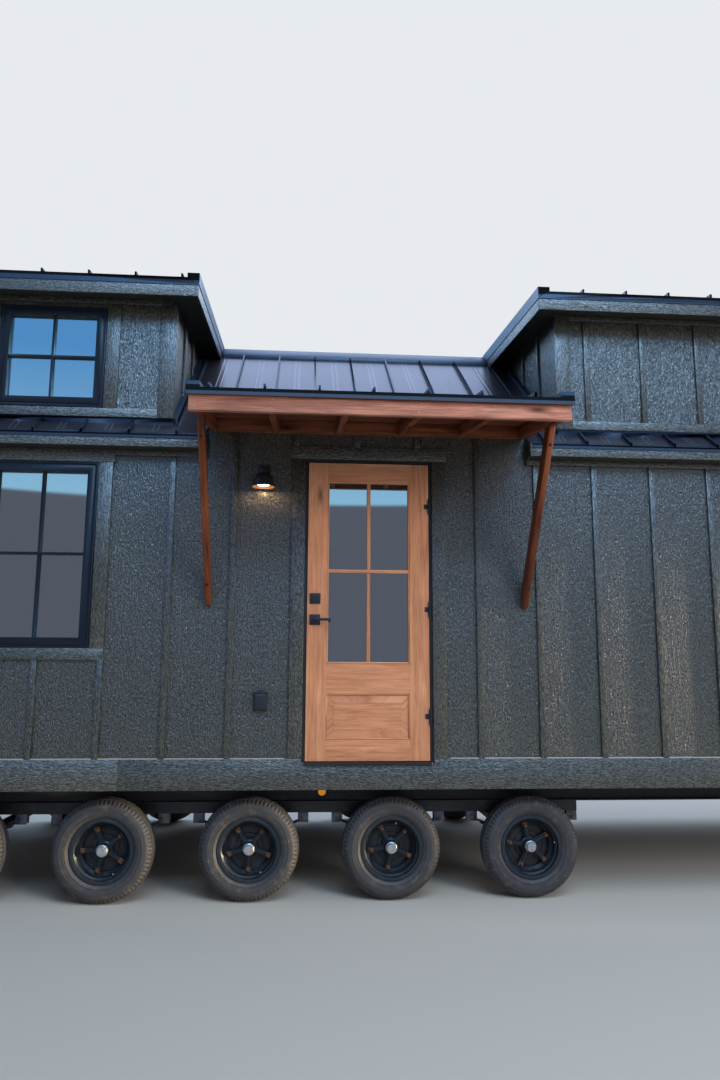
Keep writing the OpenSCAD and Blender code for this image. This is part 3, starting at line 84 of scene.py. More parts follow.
PAINT = (0.036, 0.035, 0.023)
LINING = (0.62, 0.58, 0.50)
ROOF = (0.041, 0.042, 0.058)
# Light colour mixed onto the roof's ribs: a painted highlight
ROOF_RIB_HIGHLIGHT = (0.30, 0.31, 0.38)
TRIM = (0.018, 0.036, 0.070)
HEM = (0.005, 0.006, 0.008)
# One stained wood in two copies: the darker one for the rafters, braces and deck is painted shade, the
# lighter pinker one for the beam is painted sky light
SHADED_STAIN = ((0.060, 0.014, 0.006), (0.190, 0.052, 0.020), (0.32, 0.105, 0.042))
SKY_LIT_BEAM_WOOD = ((0.28, 0.108, 0.075), (0.49, 0.205, 0.145), (0.62, 0.296, 0.212))
DOOR_DARK = (0.46, 0.168, 0.074)
DOOR = (0.65, 0.276, 0.136)
DOOR_LIGHT = (0.75, 0.372, 0.200)
DOOR_KNOT = (0.13, 0.045, 0.02)
BLACK = (0.012, 0.013, 0.015)
WINDOW_BLACK = (0.007, 0.011, 0.020)
STEEL = (0.016, 0.018, 0.021)
ZINC = (0.13, 0.135, 0.14)
RUST = (0.120, 0.062, 0.034)
BRIGHT = (0.55, 0.56, 0.58)
RUBBER = (0.036, 0.037, 0.044)
DUST = (0.115, 0.094, 0.080)
# Pale strip on the skirt boards' top edges: a painted highlight
SKIRT_EDGE_HIGHLIGHT = (0.40, 0.37, 0.33)
SCREW = (0.30, 0.28, 0.25)


class Nodes:
    """A node tree, with short ways to add to it."""

    def __init__(self, tree):
        self.tree = tree

    def node(self, kind, inputs=(), **settings):
        made = self.tree.nodes.new(kind)
        for key, value in settings.items():
            setattr(made, key, value)
        for key, value in dict(inputs).items():
            self.feed(made.inputs[key], value)
        return made

    def feed(self, socket, value):
        """Links an output to a socket, or sets the socket to a value."""
        if isinstance(value, bpy.types.NodeSocket):
            self.tree.links.new(value, socket)
        else:
            socket.default_value = value

    def split(self, vector):
        """X, Y and Z of a vector."""
        return self.node("ShaderNodeSeparateXYZ", {0: vector}).outputs

    def ramp(self, value, *stops):
        made = self.node("ShaderNodeValToRGB", {"Fac": value})
        while len(made.color_ramp.elements) < len(stops):
            made.color_ramp.elements.new(0.5)
        for element, (at, colour) in zip(made.color_ramp.elements, stops):
            element.position = at
            element.color = (*colour, 1.0) if isinstance(colour, tuple) else (colour, colour, colour, 1.0)
        return made.outputs["Color"]

    def math(self, operation, *values):
        return self.node("ShaderNodeMath", dict(enumerate(values)), operation=operation).outputs[0]

    def mix(self, share, a, b, blend_type="MIX"):
        made = self.node("ShaderNodeMix", data_type="RGBA", blend_type=blend_type)
        for socket, value in ((made.inputs[0], share), (made.inputs[6], a), (made.inputs[7], b)):
            self.feed(socket, (*value, 1.0) if isinstance(value, tuple) else value)
        return made.outputs[2]

    def tint(self, colour, shade):
        """A colour multiplied by a shade."""
        return self.mix(1.0, colour, shade, "MULTIPLY")


class Look(Nodes):
    """A finish: one material and the nodes that make it."""

    def __init__(self, name, colour, roughness=0.5, metallic=0.0):
        self.material = bpy.data.materials.new(name)
        self.material.use_nodes = True
        super().__init__(self.material.node_tree)
        self.shader = self.tree.nodes["Principled BSDF"]
        self.set("Base Color", (*colour, 1.0))
        self.set("Roughness", roughness)
        self.set("Metallic", metallic)

    def set(self, socket, value):
        self.shader.inputs[socket].default_value = value

    def plug(self, socket, output):
        self.tree.links.new(output, self.shader.inputs[socket])

    def place(self, scale=(1, 1, 1), shift=(0, 0, 0), along=False):
        """Coordinates on the piece: from the house's origin, or along each board's grain."""
        if along:
            source = self.node("ShaderNodeAttribute", attribute_name="grain").outputs["Vector"]
            start = Vector(shift)
        else:
            source = self.node("ShaderNodeTexCoord").outputs["Object"]
            start = Vector(shift) - HOUSE
        moved = self.node("ShaderNodeVectorMath", {0: source, 1: start}, operation="ADD")
        scaled = self.node("ShaderNodeMapping", {"Vector": moved.outputs[0], "Scale": scale})
        return scaled.outputs["Vector"]

    def noise(self, where, detail=4.0, roughness=0.55, distortion=0.0):
        made = self.node("ShaderNodeTexNoise", {"Vector": where, "Scale": 1.0, "Detail": detail,
                                                "Roughness": roughness, "Distortion": distortion})
        return made.outputs["Fac"]

    def specks(self, scale, detail, roughness=0.55):
        """Noise of the same size along every axis."""
        return self.noise(self.place((scale, scale, scale)), detail, roughness)

    def knots(self, scale, shift, *stops):
        """Round knots along a board, each fading out by the stops."""
        where = self.place(scale, shift, along=True)
        cells = self.node("ShaderNodeTexVoronoi", {"Vector": where, "Scale": 1.0})
        return self.ramp(cells.outputs["Distance"], *stops)

    def facing_up(self):
        """How far the surface looks up: 1 for a floor, -1 for a ceiling."""
        return self.split(self.node("ShaderNodeNewGeometry").outputs["Normal"])["Z"]

    def bump(self, height, depth, strength=1.0):
        made = self.node("ShaderNodeBump", {"Height": height, "Distance": depth, "Strength": strength})
        self.plug("Normal", made.outputs["Normal"])


# Paint and linings

def inside_mask(look, in_dormer):
    """1 on the faces towards the rooms, by their distance from the outer walls' faces."""
    where = look.split(look.place())
    from_middle = look.math("ABSOLUTE", look.math("SUBTRACT", where["Y"], MID_Y))
    across = look.math("LESS_THAN", from_middle, ROOM_Y)
    middle, half = (DORMER_MID, DORMER_ROOM) if in_dormer else (0.0, ROOM_X)
    from_room = look.math("SUBTRACT", look.math("ABSOLUTE", where["X"]), middle)
    ends = look.math("LESS_THAN", look.math("ABSOLUTE", from_room), half)
    return look.math("MULTIPLY", across, ends)


def lining_colour(look):
    """Pale boards on the rooms' walls, with a dark line at each joint."""
    course = look.math("FRACT", look.math("DIVIDE", look.split(look.place())["Z"], BOARD_H))
    joint = look.ramp(course, (0.0, 0.25), (0.035, 1.0))
    tone = look.ramp(look.noise(look.place((2, 2, 14)), 3), (0.3, 0.86), (0.7, 1.0))
    return look.tint(look.tint(LINING, tone), joint)


def siding_paint(name, scale, along, depth, room=None):
    """Dark olive paint on embossed boards: a short raised grain, long ridges between, a satin sheen, and
    glints painted lighter into its colour.
    """
    look = Look(name, PAINT, 0.34)
    look.set("IOR", 1.75)
    look.set("Specular IOR Level", 0.7)
    look.set("Coat Weight", 0.2 if along else 0.45)
    look.set("Coat Roughness", 0.26)
    long, across = scale
    coarse = (long, across, across) if along else (across, across, long)
    fine = tuple(2.1 * each for each in coarse)
    broad = (3.3, 21, 21) if along else (21, 21, 3.3)
    grain = look.noise(look.place(coarse, along=along), 3, 0.60, 0.6)
    flecks = look.noise(look.place(fine, along=along), 2, 0.60, 0.3)
    swirl = look.noise(look.place(broad, along=along), 3, 0.5, 1.8)
    height = look.math("ADD", look.math("MULTIPLY", grain, 0.9), look.math("MULTIPLY", flecks, 0.45))
    height = look.math("ADD", height, look.math("MULTIPLY", swirl, 0.8))
    # Lighter colour on the highest grain and flecks is painted highlight: glints put into the paint's colour
    # over its real emboss
    tone = look.ramp(grain, (0.34, 0.52), (0.50, 0.92), (0.64, 1.55))
    tone = look.tint(tone, look.ramp(flecks, (0.36, 0.62), (0.5, 0.95), (0.62, 1.50)))
    patches = look.ramp(look.noise(look.place((0.9, 0.9, 0.6), along=along), 2), (0.3, 0.90), (0.7, 1.08))
    colour = look.tint(look.tint(PAINT, tone), patches)
    dull, bright = (0.50, 0.34) if along else (0.40, 0.24)
    look.plug("Roughness", look.ramp(flecks, (0.3, dull), (0.7, bright)))
    look.plug("Specular IOR Level", look.ramp(flecks, (0.40, 0.25), (0.62, 1.0)))
    if room is not None:
        inner = inside_mask(look, room == "dormer")
        colour = look.mix(inner, colour, lining_colour(look))
        height = look.math("MULTIPLY", height, look.math("SUBTRACT", 1.0, inner))
    look.plug("Base Color", colour)
    look.bump(height, depth)
    return look


def floor_board():
    """Brown floor boards that run along the house."""
    look = Look("floor_board", (0.33, 0.24, 0.15), 0.5)
    board = look.math("DIVIDE", look.math("ADD", look.split(look.place())["Y"], 2.0), 0.12)
    joint = look.ramp(look.math("FRACT", board), (0.0, 0.2), (0.04, 1.0))
    rings = look.noise(look.place((2, 30, 30)), 5, 0.6, 1.2)
    colour = look.ramp(rings, (0.3, (0.20, 0.13, 0.075)), (0.7, (0.42, 0.31, 0.20)))
    look.plug("Base Color", look.tint(colour, joint))
    return look


# Timber

def lumber(name, stain, seed):
    """Stained sawn timber with its grain, blotches and knots along each piece."""
    look = Look(name, stain[1], 0.62)
    look.set("Specular IOR Level", 0.25)
    shift = (seed, 0, 0)
    rings = look.noise(look.place((1.6, 38, 38), shift, along=True), 5, 0.6, 0.7)
    streaks = look.noise(look.place((6, 210, 210), along=True), 3, 0.6, 0.4)
    blotch = look.noise(look.place((2.0, 9, 9), shift, along=True), 3, 0.6, 0.8)
    colour = look.ramp(rings, (0.28, stain[0]), (0.46, stain[1]), (0.72, stain[2]))
    colour = look.tint(colour, look.ramp(streaks, (0.3, 0.66), (0.6, 1.10)))
    colour = look.tint(colour, look.ramp(blotch, (0.3, 0.66), (0.6, 1.1)))
    knot = look.knots((2.4, 8.5, 8.5), shift, (0.06, 1.0), (0.13, 0.55), (0.24, 0.0))
    look.plug("Base Color", look.mix(knot, colour, tuple(0.35 * each for each in stain[0])))
    look.bump(look.math("ADD", streaks, look.math("MULTIPLY", rings, 0.6)), 0.0012, 0.6)
    return look


def door_wood():
    """Light stained wood under a clear coat, with rings, pores, blotches and small knots."""
    look = Look("door_wood", DOOR, 0.40)
    look.set("Coat Weight", 0.25)
    look.set("Coat Roughness", 0.25)
    rings = look.noise(look.place((1.5, 26, 26), along=True), 6, 0.58, 1.5)
    pores = look.noise(look.place((9, 420, 420), along=True), 2, 0.6, 0.2)
    blotch = look.noise(look.place((2.5, 6, 6), along=True), 3, 0.6, 0.8)
    colour = look.ramp(rings, (0.30, DOOR_DARK), (0.50, DOOR), (0.72, DOOR_LIGHT))
    colour = look.tint(colour, look.ramp(pores, (0.34, 0.80), (0.5, 1.02)))
    colour = look.tint(colour, look.ramp(blotch, (0.3, 0.88), (0.7, 1.08)))
    knot = look.knots((1.3, 4.5, 4.5), (0, 0, 0), (0.03, 1.0), (0.06, 0.5), (0.12, 0.0))
    look.plug("Base Color", look.mix(knot, colour, DOOR_KNOT))
    look.bump(look.math("ADD", pores, look.math("MULTIPLY", rings, 0.4)), 0.0006, 0.5)
    return look


def awning_deck():
    """The awning's roof: stained boards below, metal above, and a near-black hem along its front."""
    look = Look("awning_deck", SHADED_STAIN[1], 0.6)
    where = look.split(look.place())
    board = look.math("DIVIDE", look.math("ADD", where["Y"], 2.0), BOARD_H)
    joint = look.ramp(look.math("FRACT", board), (0.0, 0.10), (0.04, 1.0), (0.96, 1.0), (1.0, 0.10))
    shade = look.node("ShaderNodeTexWhiteNoise", {"W": look.math("FLOOR", board)}, noise_dimensions="1D")
    rings = look.noise(look.place((2.4, 40, 40)), 5, 0.6, 1.2)
    # The boards take the darker stain: painted shade under the awning
    colour = look.ramp(rings, (0.28, SHADED_STAIN[0]), (0.5, SHADED_STAIN[1]), (0.75, SHADED_STAIN[2]))
    colour = look.tint(colour, look.ramp(shade.outputs["Value"], (0.0, 0.75), (1.0, 1.15)))
    colour = look.tint(colour, joint)
    under = look.math("LESS_THAN", look.facing_up(), -0.5)
    front = look.math("LESS_THAN", where["Y"], -0.970)
    dark = look.math("GREATER_THAN", where["Z"], 2.967)
    look.plug("Base Color", look.mix(under, look.mix(front, ROOF, look.mix(dark, TRIM, HEM)), colour))
    hem = look.math("MULTIPLY", dark, front)
    look.plug("Specular IOR Level", look.ramp(hem, (0.0, 0.5), (1.0, 0.05)))
    look.bump(look.math("MULTIPLY", joint, under), 0.003, 0.7)
    return look


# Roof metal

def roof_metal():
    """Sheets with two low ribs in each bay between the seams, each with a painted highlight; below, painted
    soffits or lined ceilings.
    """
    look = Look("roof_metal", ROOF, 0.30, 0.5)
    along = look.split(look.place(shift=(-SEAM_X, 0, 0)))["X"]
    bay = look.math("FRACT", look.math("DIVIDE", along, SEAM_PITCH))
    rib_a = look.math("ABSOLUTE", look.math("SUBTRACT", bay, 0.46))
    rib_b = look.math("ABSOLUTE", look.math("SUBTRACT", bay, 0.57))
    ribs = look.ramp(look.math("MINIMUM", rib_a, rib_b), (0.0, 1.0), (0.012, 0.85), (0.028, 0.0))
    waves = look.noise(look.place((3.2, 1.1, 1.1)), 2)
    height = look.math("ADD", look.math("MULTIPLY", ribs, 0.5), look.math("MULTIPLY", waves, 0.9))
    dust = look.ramp(look.noise(look.place((6, 2.5, 2.5)), 5), (0.35, 0.88), (0.75, 1.18))
    # The ribs are mixed towards a light bluish colour: a painted highlight along each low rib
    metal = look.mix(look.math("MULTIPLY", ribs, 0.22), look.tint(ROOF, dust), ROOF_RIB_HIGHLIGHT)
    facing = look.facing_up()
    up = look.math("GREATER_THAN", facing, 0.2)
    level = look.math("LESS_THAN", facing, -0.9)
    where = look.split(look.place(shift=(0, -MID_Y, 0)))
    gable = look.math("GREATER_THAN", look.math("ABSOLUTE", where["X"]), ROOM_X)
    eaves = look.math("GREATER_THAN", look.math("ABSOLUTE", where["Y"]), ROOM_Y + 0.02)
    painted = look.math("MAXIMUM", look.math("MAXIMUM", level, gable), eaves)
    under = look.mix(painted, lining_colour(look), PAINT)
    look.plug("Base Color", look.mix(up, under, metal))
    look.plug("Metallic", look.math("MULTIPLY", up, 0.5))
    look.bump(look.math("MULTIPLY", height, up), 0.004, 0.6)
    return look


def trim_metal():
    """Blue-black trims; the hems that face out at the dormers' and main eaves are near black."""
    look = Look("roof_trim_metal", TRIM, 0.40, 0.3)
    dust = look.ramp(look.specks(5, 5), (0.35, 0.85), (0.75, 1.25))
    where = look.split(look.place(shift=(0, -MID_Y, 0)))
    out, z = look.math("ABSOLUTE", where["Y"]), where["Z"]
    dormer = look.math("MULTIPLY", look.math("GREATER_THAN", out, 1.676), look.math("GREATER_THAN", z, 4.017))
    eaves = look.math("MULTIPLY", look.math("GREATER_THAN", out, 1.641), look.math("GREATER_THAN", z, 2.951))
    eaves = look.math("MULTIPLY", eaves, look.math("LESS_THAN", z, 3.0))
    dark = look.math("MAXIMUM", dormer, eaves)
    look.plug("Base Color", look.mix(dark, look.tint(TRIM, dust), HEM))
    look.plug("Specular IOR Level", look.ramp(dark, (0.0, 0.5), (1.0, 0.05)))
    look.plug("Metallic", look.ramp(dark, (0.0, 0.3), (1.0, 0.0)))
    look.bump(look.specks(4, 2), 0.001, 0.3)
    return look


def hem_metal():
    look = Look("roof_hem", HEM, 0.5, 0.2)
    look.bump(look.specks(4, 2), 0.001, 0.3)
    return look


# Steel, rubber and small parts

def grimy(name, colour, roughness, metallic, scale, roughen, *stops):
    """A metal or rubber with grime in patches; returns the look and the grime."""
    look = Look(name, colour, roughness, metallic)
    grime = look.specks(scale, 6, roughen)
    look.plug("Base Color", look.ramp(grime, *stops))
    return look, grime


def black_steel():
    look, grime = grimy("black_steel", STEEL, 0.45, 0.2, 7, 0.62,
                        (0.38, STEEL), (0.62, (0.034, 0.034, 0.035)), (0.8, DUST))
    look.plug("Roughness", look.ramp(grime, (0.35, 0.36), (0.7, 0.68)))
    look.bump(look.specks(60, 4), 0.0006, 0.5)
    return look


def hanger_steel():
    look, grime = grimy("hanger_steel", ZINC, 0.48, 0.6, 18, 0.62,
                        (0.36, (0.05, 0.052, 0.055)), (0.55, ZINC), (0.72, (0.13, 0.085, 0.06)))
    look.bump(grime, 0.0006, 0.5)
    return look


def rusty_steel():
    look, flakes = grimy("rusty_steel", RUST, 0.82, 0.0, 85, 0.65,
                         (0.34, (0.030, 0.020, 0.015)), (0.5, RUST), (0.7, (0.22, 0.12, 0.06)))
    look.bump(flakes, 0.0012, 0.8)
    return look


def wheel_black():
    look, grime = grimy("wheel_black", STEEL, 0.34, 0.25, 30, 0.6, (0.4, (0.016, 0.024, 0.034)),
                        (0.62, (0.024, 0.028, 0.034)), (0.78, (0.07, 0.05, 0.038)))
    look.plug("Roughness", look.ramp(grime, (0.35, 0.28), (0.7, 0.58)))
    look.bump(look.specks(160, 3), 0.0003, 0.5)
    return look


def tyre_rubber():
    look, _ = grimy("tyre_rubber", RUBBER, 0.62, 0.0, 26, 0.6,
                    (0.36, RUBBER), (0.56, (0.044, 0.042, 0.044)), (0.74, DUST))
    look.bump(look.specks(500, 2), 0.0004, 0.5)
    return look


def bright_cap():
    look = Look("bright_cap", BRIGHT, 0.36, 0.75)
    look.plug("Base Color", look.ramp(look.specks(60, 4), (0.35, (0.36, 0.36, 0.37)), (0.65, BRIGHT)))
    return look


def speckled(name, colour, roughness, scale, depth):
    """A plain coated surface with a very fine grain in its coat."""
    look = Look(name, colour, roughness)
    look.plug("Roughness", look.ramp(look.specks(5, 3), (0.3, roughness * 0.85),
                                     (0.7, min(1.0, roughness * 1.2))))
    look.bump(look.specks(scale, 2), depth, 0.5)
    return look


def window_black():
    look = speckled("window_black", WINDOW_BLACK, 0.33, 260, 0.0002)
    look.set("Specular IOR Level", 0.3)
    return look


def window_glass():
    look = Look("window_glass", (0.51, 0.66, 0.61), 0.02, 1.0)
    look.set("Alpha", 0.80)
    return look


def glowing(name, colour, roughness, light, strength):
    """A lens or bulb that shines."""
    look = Look(name, colour, roughness)
    look.set("Emission Color", (*light, 1.0))
    look.set("Emission Strength", strength)
    return look


LOOKS = {
    "wall": siding_paint("siding_wall", (34, 72), False, 0.0080, "house"),
    "cheek": siding_paint("siding_cheek", (34, 72), False, 0.0080, "dormer"),
    "board": siding_paint("siding_board", (26, 105), True, 0.0040),
    "roof": roof_metal(),
    "trim": trim_metal(),
    "hem": hem_metal(),
    # Two copies of one stain: darker as painted shade, lighter on the beam as painted light
    "lumber": lumber("stained_lumber", SHADED_STAIN, 3.0),
    "beam": lumber("stained_beam_painted_light", SKY_LIT_BEAM_WOOD, 11.0),
    "deck": awning_deck(),
    "door": door_wood(),
    "window": window_black(),
    "black": speckled("black_hardware", BLACK, 0.42, 900, 0.0001),
    "plastic": speckled("black_plastic", BLACK, 0.5, 1400, 0.0001),
    "steel": black_steel(),
    "zinc": hanger_steel(),
    "rust": rusty_steel(),
    "rim": wheel_black(),
    "cap": bright_cap(),
    "rubber": tyre_rubber(),
    "amber": glowing("amber_lens", (0.95, 0.33, 0.03), 0.18, (1.0, 0.33, 0.03), 0.35),
    "bulb": glowing("warm_bulb", (1.0, 0.85, 0.6), 0.4, (1.0, 0.72, 0.42), 9.0),
    "shade": Look("shade_lining", (0.115, 0.060, 0.034), 0.45),
    # The skirt's pale strip: a painted highlight on the boards' top edges
    "bead": speckled("skirt_painted_highlight", SKIRT_EDGE_HIGHLIGHT, 0.5, 900, 0.0001),
    "screw": speckled("screw_heads", SCREW, 0.45, 900, 0.0001),
    "glass": window_glass(),
    "floor": floor_board(),
}


# Making pieces

def mark_grain(bm, seed):
    """Gives each separate board coordinates of its own: along its longest edge, across it, through it."""
    layer = bm.verts.layers.float_vector.new("grain")
    draw = random.Random(seed)
    reached = set()
    for first in bm.verts:
        if first in reached:
            continue
        reached.add(first)
        board, front = [first], [first]
        while front:
            vert = front.pop()
            for edge in vert.link_edges:
                other = edge.other_vert(vert)
                if other not in reached:
                    reached.add(other)
                    board.append(other)
                    front.append(other)
        edges = [edge for vert in board for edge in vert.link_edges]
        faces = [face for vert in board for face in vert.link_faces]
        long_edge = max(edges, key=lambda edge: round(edge.calc_length(), 4))
        along = (long_edge.verts[1].co - long_edge.verts[0].co).normalized()
        along = along if along[max(range(3), key=lambda i: abs(along[i]))] > 0 else -along
        through = max(faces, key=lambda face: round(face.calc_area(), 5)).normal.copy()
        across = through.cross(along).normalized()
        start = Vector((draw.uniform(0, 40), draw.uniform(0, 40), draw.uniform(0, 40)))
        for vert in board:
            vert[layer] = start + Vector((vert.co.dot(along), vert.co.dot(across), vert.co.dot(through)))


def faces_of(verts):
    return list({face for vert in verts for face in vert.link_faces})


def bevel(bm, edges, width, segments):
    """Rounds the edges; returns the new vertices."""
    return bmesh.ops.bevel(bm, geom=edges, offset=width, offset_type="OFFSET", segments=segments, profile=0.5,
                           affect="EDGES", clamp_overlap=True, material=-1)["verts"]


def ease(bm, width, angle=30.0, segments=2):
    """Rounds the edges where faces meet at more than an angle."""
    sharp = [edge for edge in bm.edges if len(edge.link_faces) == 2
             and edge.calc_face_angle(0) > radians(angle)]
    if sharp:
        bevel(bm, sharp, width, segments)


def piece(name, bm, look, body="root", replaces=(), smooth=35.0, in_house=True, looks=()):
    """Turns a bmesh into a piece of the house that rides on a body."""
    if in_house:
        bmesh.ops.translate(bm, vec=HOUSE, verts=bm.verts)
    mesh = bpy.data.meshes.new(name)
    bm.to_mesh(mesh)
    bm.free()
    if smooth:
        mesh.shade_smooth()
        mesh.set_sharp_from_angle(angle=radians(smooth))
    for each in (look, *looks):
        mesh.materials.append(LOOKS[each].material)
    obj = bpy.data.objects.new(name, mesh)
    scene.collection.objects.link(obj)
    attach(obj, body)
    if replaces:
        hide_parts(*replaces)


def box(bm, lo, hi, material=0):
    """A box from one corner to the other; returns its vertices."""
    lo, hi = Vector(lo), Vector(hi)
    made = bmesh.ops.create_cube(bm, size=1.0)["verts"]
    bmesh.ops.scale(bm, vec=hi - lo, verts=made)
    bmesh.ops.translate(bm, vec=(lo + hi) / 2, verts=made)
    for face in faces_of(made):
        face.material_index = material
    return made


def rod(bm, start, end, radius, segments=16, radius_end=None, material=0):
    """A closed cylinder or cone between two points; returns its vertices."""
    start, end = Vector(start), Vector(end)
    run = end - start
    radius_end = radius if radius_end is None else radius_end
    made = bmesh.ops.create_cone(bm, cap_ends=True, segments=segments, radius1=radius, radius2=radius_end,
                                 depth=run.length)["verts"]
    bmesh.ops.rotate(bm, matrix=run.to_track_quat("Z", "Y").to_matrix(), verts=made)
    bmesh.ops.translate(bm, vec=(start + end) / 2, verts=made)
    for face in faces_of(made):
        face.material_index = material
    return made


def turned(bm, outline, segments=48, material=0, closed=True):
    """Spins an outline of (radius, height) points round Z; returns the new vertices."""
    before = set(bm.verts)
    points = [bm.verts.new((radius, 0, height)) for radius, height in outline]
    pairs = zip(points, points[1:] + points[:1]) if closed else zip(points, points[1:])
    edges = [bm.edges.new(pair) for pair in pairs]
    bmesh.ops.spin(bm, geom=points + edges, axis=(0, 0, 1), cent=(0, 0, 0), angle=2 * pi, steps=segments,
                   use_merge=True)
    made = [vert for vert in bm.verts if vert not in before]
    bmesh.ops.remove_doubles(bm, verts=made, dist=1e-6)
    made = [vert for vert in bm.verts if vert not in before]
    faces = faces_of(made)
    bmesh.ops.recalc_face_normals(bm, faces=faces)
    for face in faces:
        face.material_index = material
    return made


def prism(bm, outline, z0, z1, material=0):
    """An upright block on an outline of (x, y) points; returns its vertices."""
    base = [bm.verts.new((x, y, z0)) for x, y in outline]
    floor_face = bm.faces.new(base)
    raised = bmesh.ops.extrude_face_region(bm, geom=[floor_face])["geom"]
    top = [item for item in raised if isinstance(item, bmesh.types.BMVert)]
    bmesh.ops.translate(bm, vec=(0, 0, z1 - z0), verts=top)
    made = base + top
    faces = faces_of(made)
    bmesh.ops.recalc_face_normals(bm, faces=faces)
    for face in faces:
        face.material_index = material
    return made


def cad_copy(node):
    """A bmesh of a CAD node with its loose triangles joined and its flat faces made whole."""
    bm = bmesh.new()
    bm.from_mesh(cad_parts[node].data)
    bmesh.ops.remove_doubles(bm, verts=bm.verts, dist=1e-5)
    bmesh.ops.dissolve_limit(bm, angle_limit=radians(0.5), verts=bm.verts, edges=bm.edges)
    return bm


def eased_node(node, look, width, segments=2, seed=1):
    """Stands for a CAD node: the same solids with their edges eased and a grain along each."""
    bm = cad_copy(node)
    mark_grain(bm, seed)
    ease(bm, width, segments=segments)
    lo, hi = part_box(node)
    for vert in bm.verts:
        vert.co = [min(max(at, low), high) for at, low, high in zip(vert.co, lo, hi)]
    piece(node + "_finished", bm, look, replaces=(node,), in_house=False)


def paint_node(node, look):
    """Gives a CAD node that stays as it is its finish."""
    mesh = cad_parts[node].data
    mesh.materials.clear()
    mesh.materials.append(LOOKS[look].material)


# Walls, boards and roof

RAFTERS = 6
RAFTER_X = 1.038
SCREW_FRONT = -0.955
SCREW_BACK = -0.951
END_SCREW_X = 1.064
BRACE_TOE = 0.035
BRACE_OUT = 0.730
BRACE_FOOT = FLOOR_Z + 0.989
BRACE_HEAD = 2.898
SKIRT_HIGHLIGHT_Z = (0.8955, 0.9010)
CASING_X = 0.53


def screw_head(bm, x, z):
    """A screw head in the front of the awning's beam, narrower at its back."""
    rod(bm, (x, SCREW_FRONT, z), (x, SCREW_BACK, z), 0.0055, 12, 0.0035)


def make_screws():
    """Screw heads in the awning's beam, at each rafter and at both ends."""
    bm = bmesh.new()
    for i in range(RAFTERS):
        x = RAFTER_X * (2 * i / (RAFTERS - 1) - 1)
        screw_head(bm, x + 0.006, 2.934)
        screw_head(bm, x - 0.005, 2.884)
    for side in (-1, 1):
        for z in (2.938, 2.896):
            screw_head(bm, side * END_SCREW_X, z)
    piece("awning_screws", bm, "screw")


def make_bolts():
    """Counterbored bolts in the faces of the awning's braces, near both ends."""
    bm = bmesh.new()
    foot, head = Vector((0, -BRACE_TOE, BRACE_FOOT)), Vector((0, -BRACE_OUT, BRACE_HEAD))
    run = (head - foot).normalized()
    out = Vector((0, -run.z, run.y))
    for side in (-1, 1):
        for at in (foot + run * 0.145, head - run * 0.120):
            middle = at + Vector((side * RAFTER_X, 0, 0))
            rod(bm, middle - out * 0.004, middle + out * 0.0006, 0.0105, 24)
    piece("awning_bolts", bm, "hem")


def make_skirt_highlight():
    """A pale strip along the top of the front and back skirt boards, between the battens: a painted highlight
    where their top edges catch the light.
    """
    bm = bmesh.new()
    first = ceil((-HALF_LEN - BATTEN_X) / BATTEN_PITCH)
    last = floor((HALF_LEN - BATTEN_X) / BATTEN_PITCH)
    for y, at_door in ((-0.010, True), (2 * MID_Y + 0.010, False)):
        for i in range(first, last):
            x0 = BATTEN_X + i * BATTEN_PITCH + BATTEN_W + 0.001
            x1 = BATTEN_X + (i + 1) * BATTEN_PITCH - 0.001
            if at_door and x0 < CASING_X < x1:
                x0 = CASING_X
            if at_door and x0 < -CASING_X < x1:
                x1 = -CASING_X
            if not at_door or min(abs(x0), abs(x1)) > CASING_X - 0.01:
                box(bm, (x0, y - 0.0095, SKIRT_HIGHLIGHT_Z[0]), (x1, y + 0.0095, SKIRT_HIGHLIGHT_Z[1]))
    piece("skirt_painted_highlight", bm, "bead")


def make_shell():
    """Walls, roofs, floors and glass keep their CAD solids; boards, lumber, frames and trims are eased."""
    for look, nodes in (("wall", ("front_wall_left", "front_wall_right", "front_wall_head", "back_wall",
                                  "end_walls")),
                        ("cheek", ("dormer_cheeks", "dormer_walls")),
                        ("roof", ("front_roof", "back_roof", "dormer_roofs")),
                        ("deck", ("awning_roof",)),
                        ("floor", ("floor_deck", "loft_floors")),
                        ("glass", ("window_glass", "door_glass"))):
        for node in nodes:
            paint_node(node, look)
    for seed, node in enumerate(("fascias", "skirt_boards", "battens", "trim_boards")):
        eased_node(node, "board", 0.0018, seed=seed)
    # The beam gets the lighter stain as painted light; the rafters and braces get the darker one as painted
    # shade
    for seed, node in enumerate(("awning_rafters", "awning_beam", "awning_braces")):
        eased_node(node, "beam" if node == "awning_beam" else "lumber", 0.003, seed=seed + 10)
    eased_node("window_frames", "window", 0.0015)
    eased_node("roof_trims", "trim", 0.0012, segments=1)
    eased_node("ridge_cap", "trim", 0.0015)
    make_screws()
    make_bolts()
    make_skirt_highlight()


# Trailer

AXLES = 5
AXLE_X = -0.748
AXLE_PITCH = 0.9144
AXLE_Z = 0.320
WHEEL_Y = 0.190
TYRE_R = 0.320
TYRE_HALF = 0.090
TYRE_STEPS = 216
WHEEL_TURNS = (100, 105, 92, 98, 115)
VALVE_ANGLES = (200, -60, -60, 80, 10)
BEAD_R = 0.184
BEAD_GAP = 0.0003
RIM_HALF = 0.0755
RIM_T = 0.005
FLANGE_R = 0.200
LIP_R = 0.138
HUB_R = 0.042
CAP_R = 0.034
CLAMP_R = 0.127
SPOKES = 5


def tyre_radius(z):
    """Radius of the tread at z from the tyre's middle plane."""
    lean = (abs(z) / TYRE_HALF) ** 1.3
    middle = (TYRE_R + BEAD_R) / 2
    return middle + (TYRE_R - middle) * (1 - lean * lean) ** (1 / 2.6)


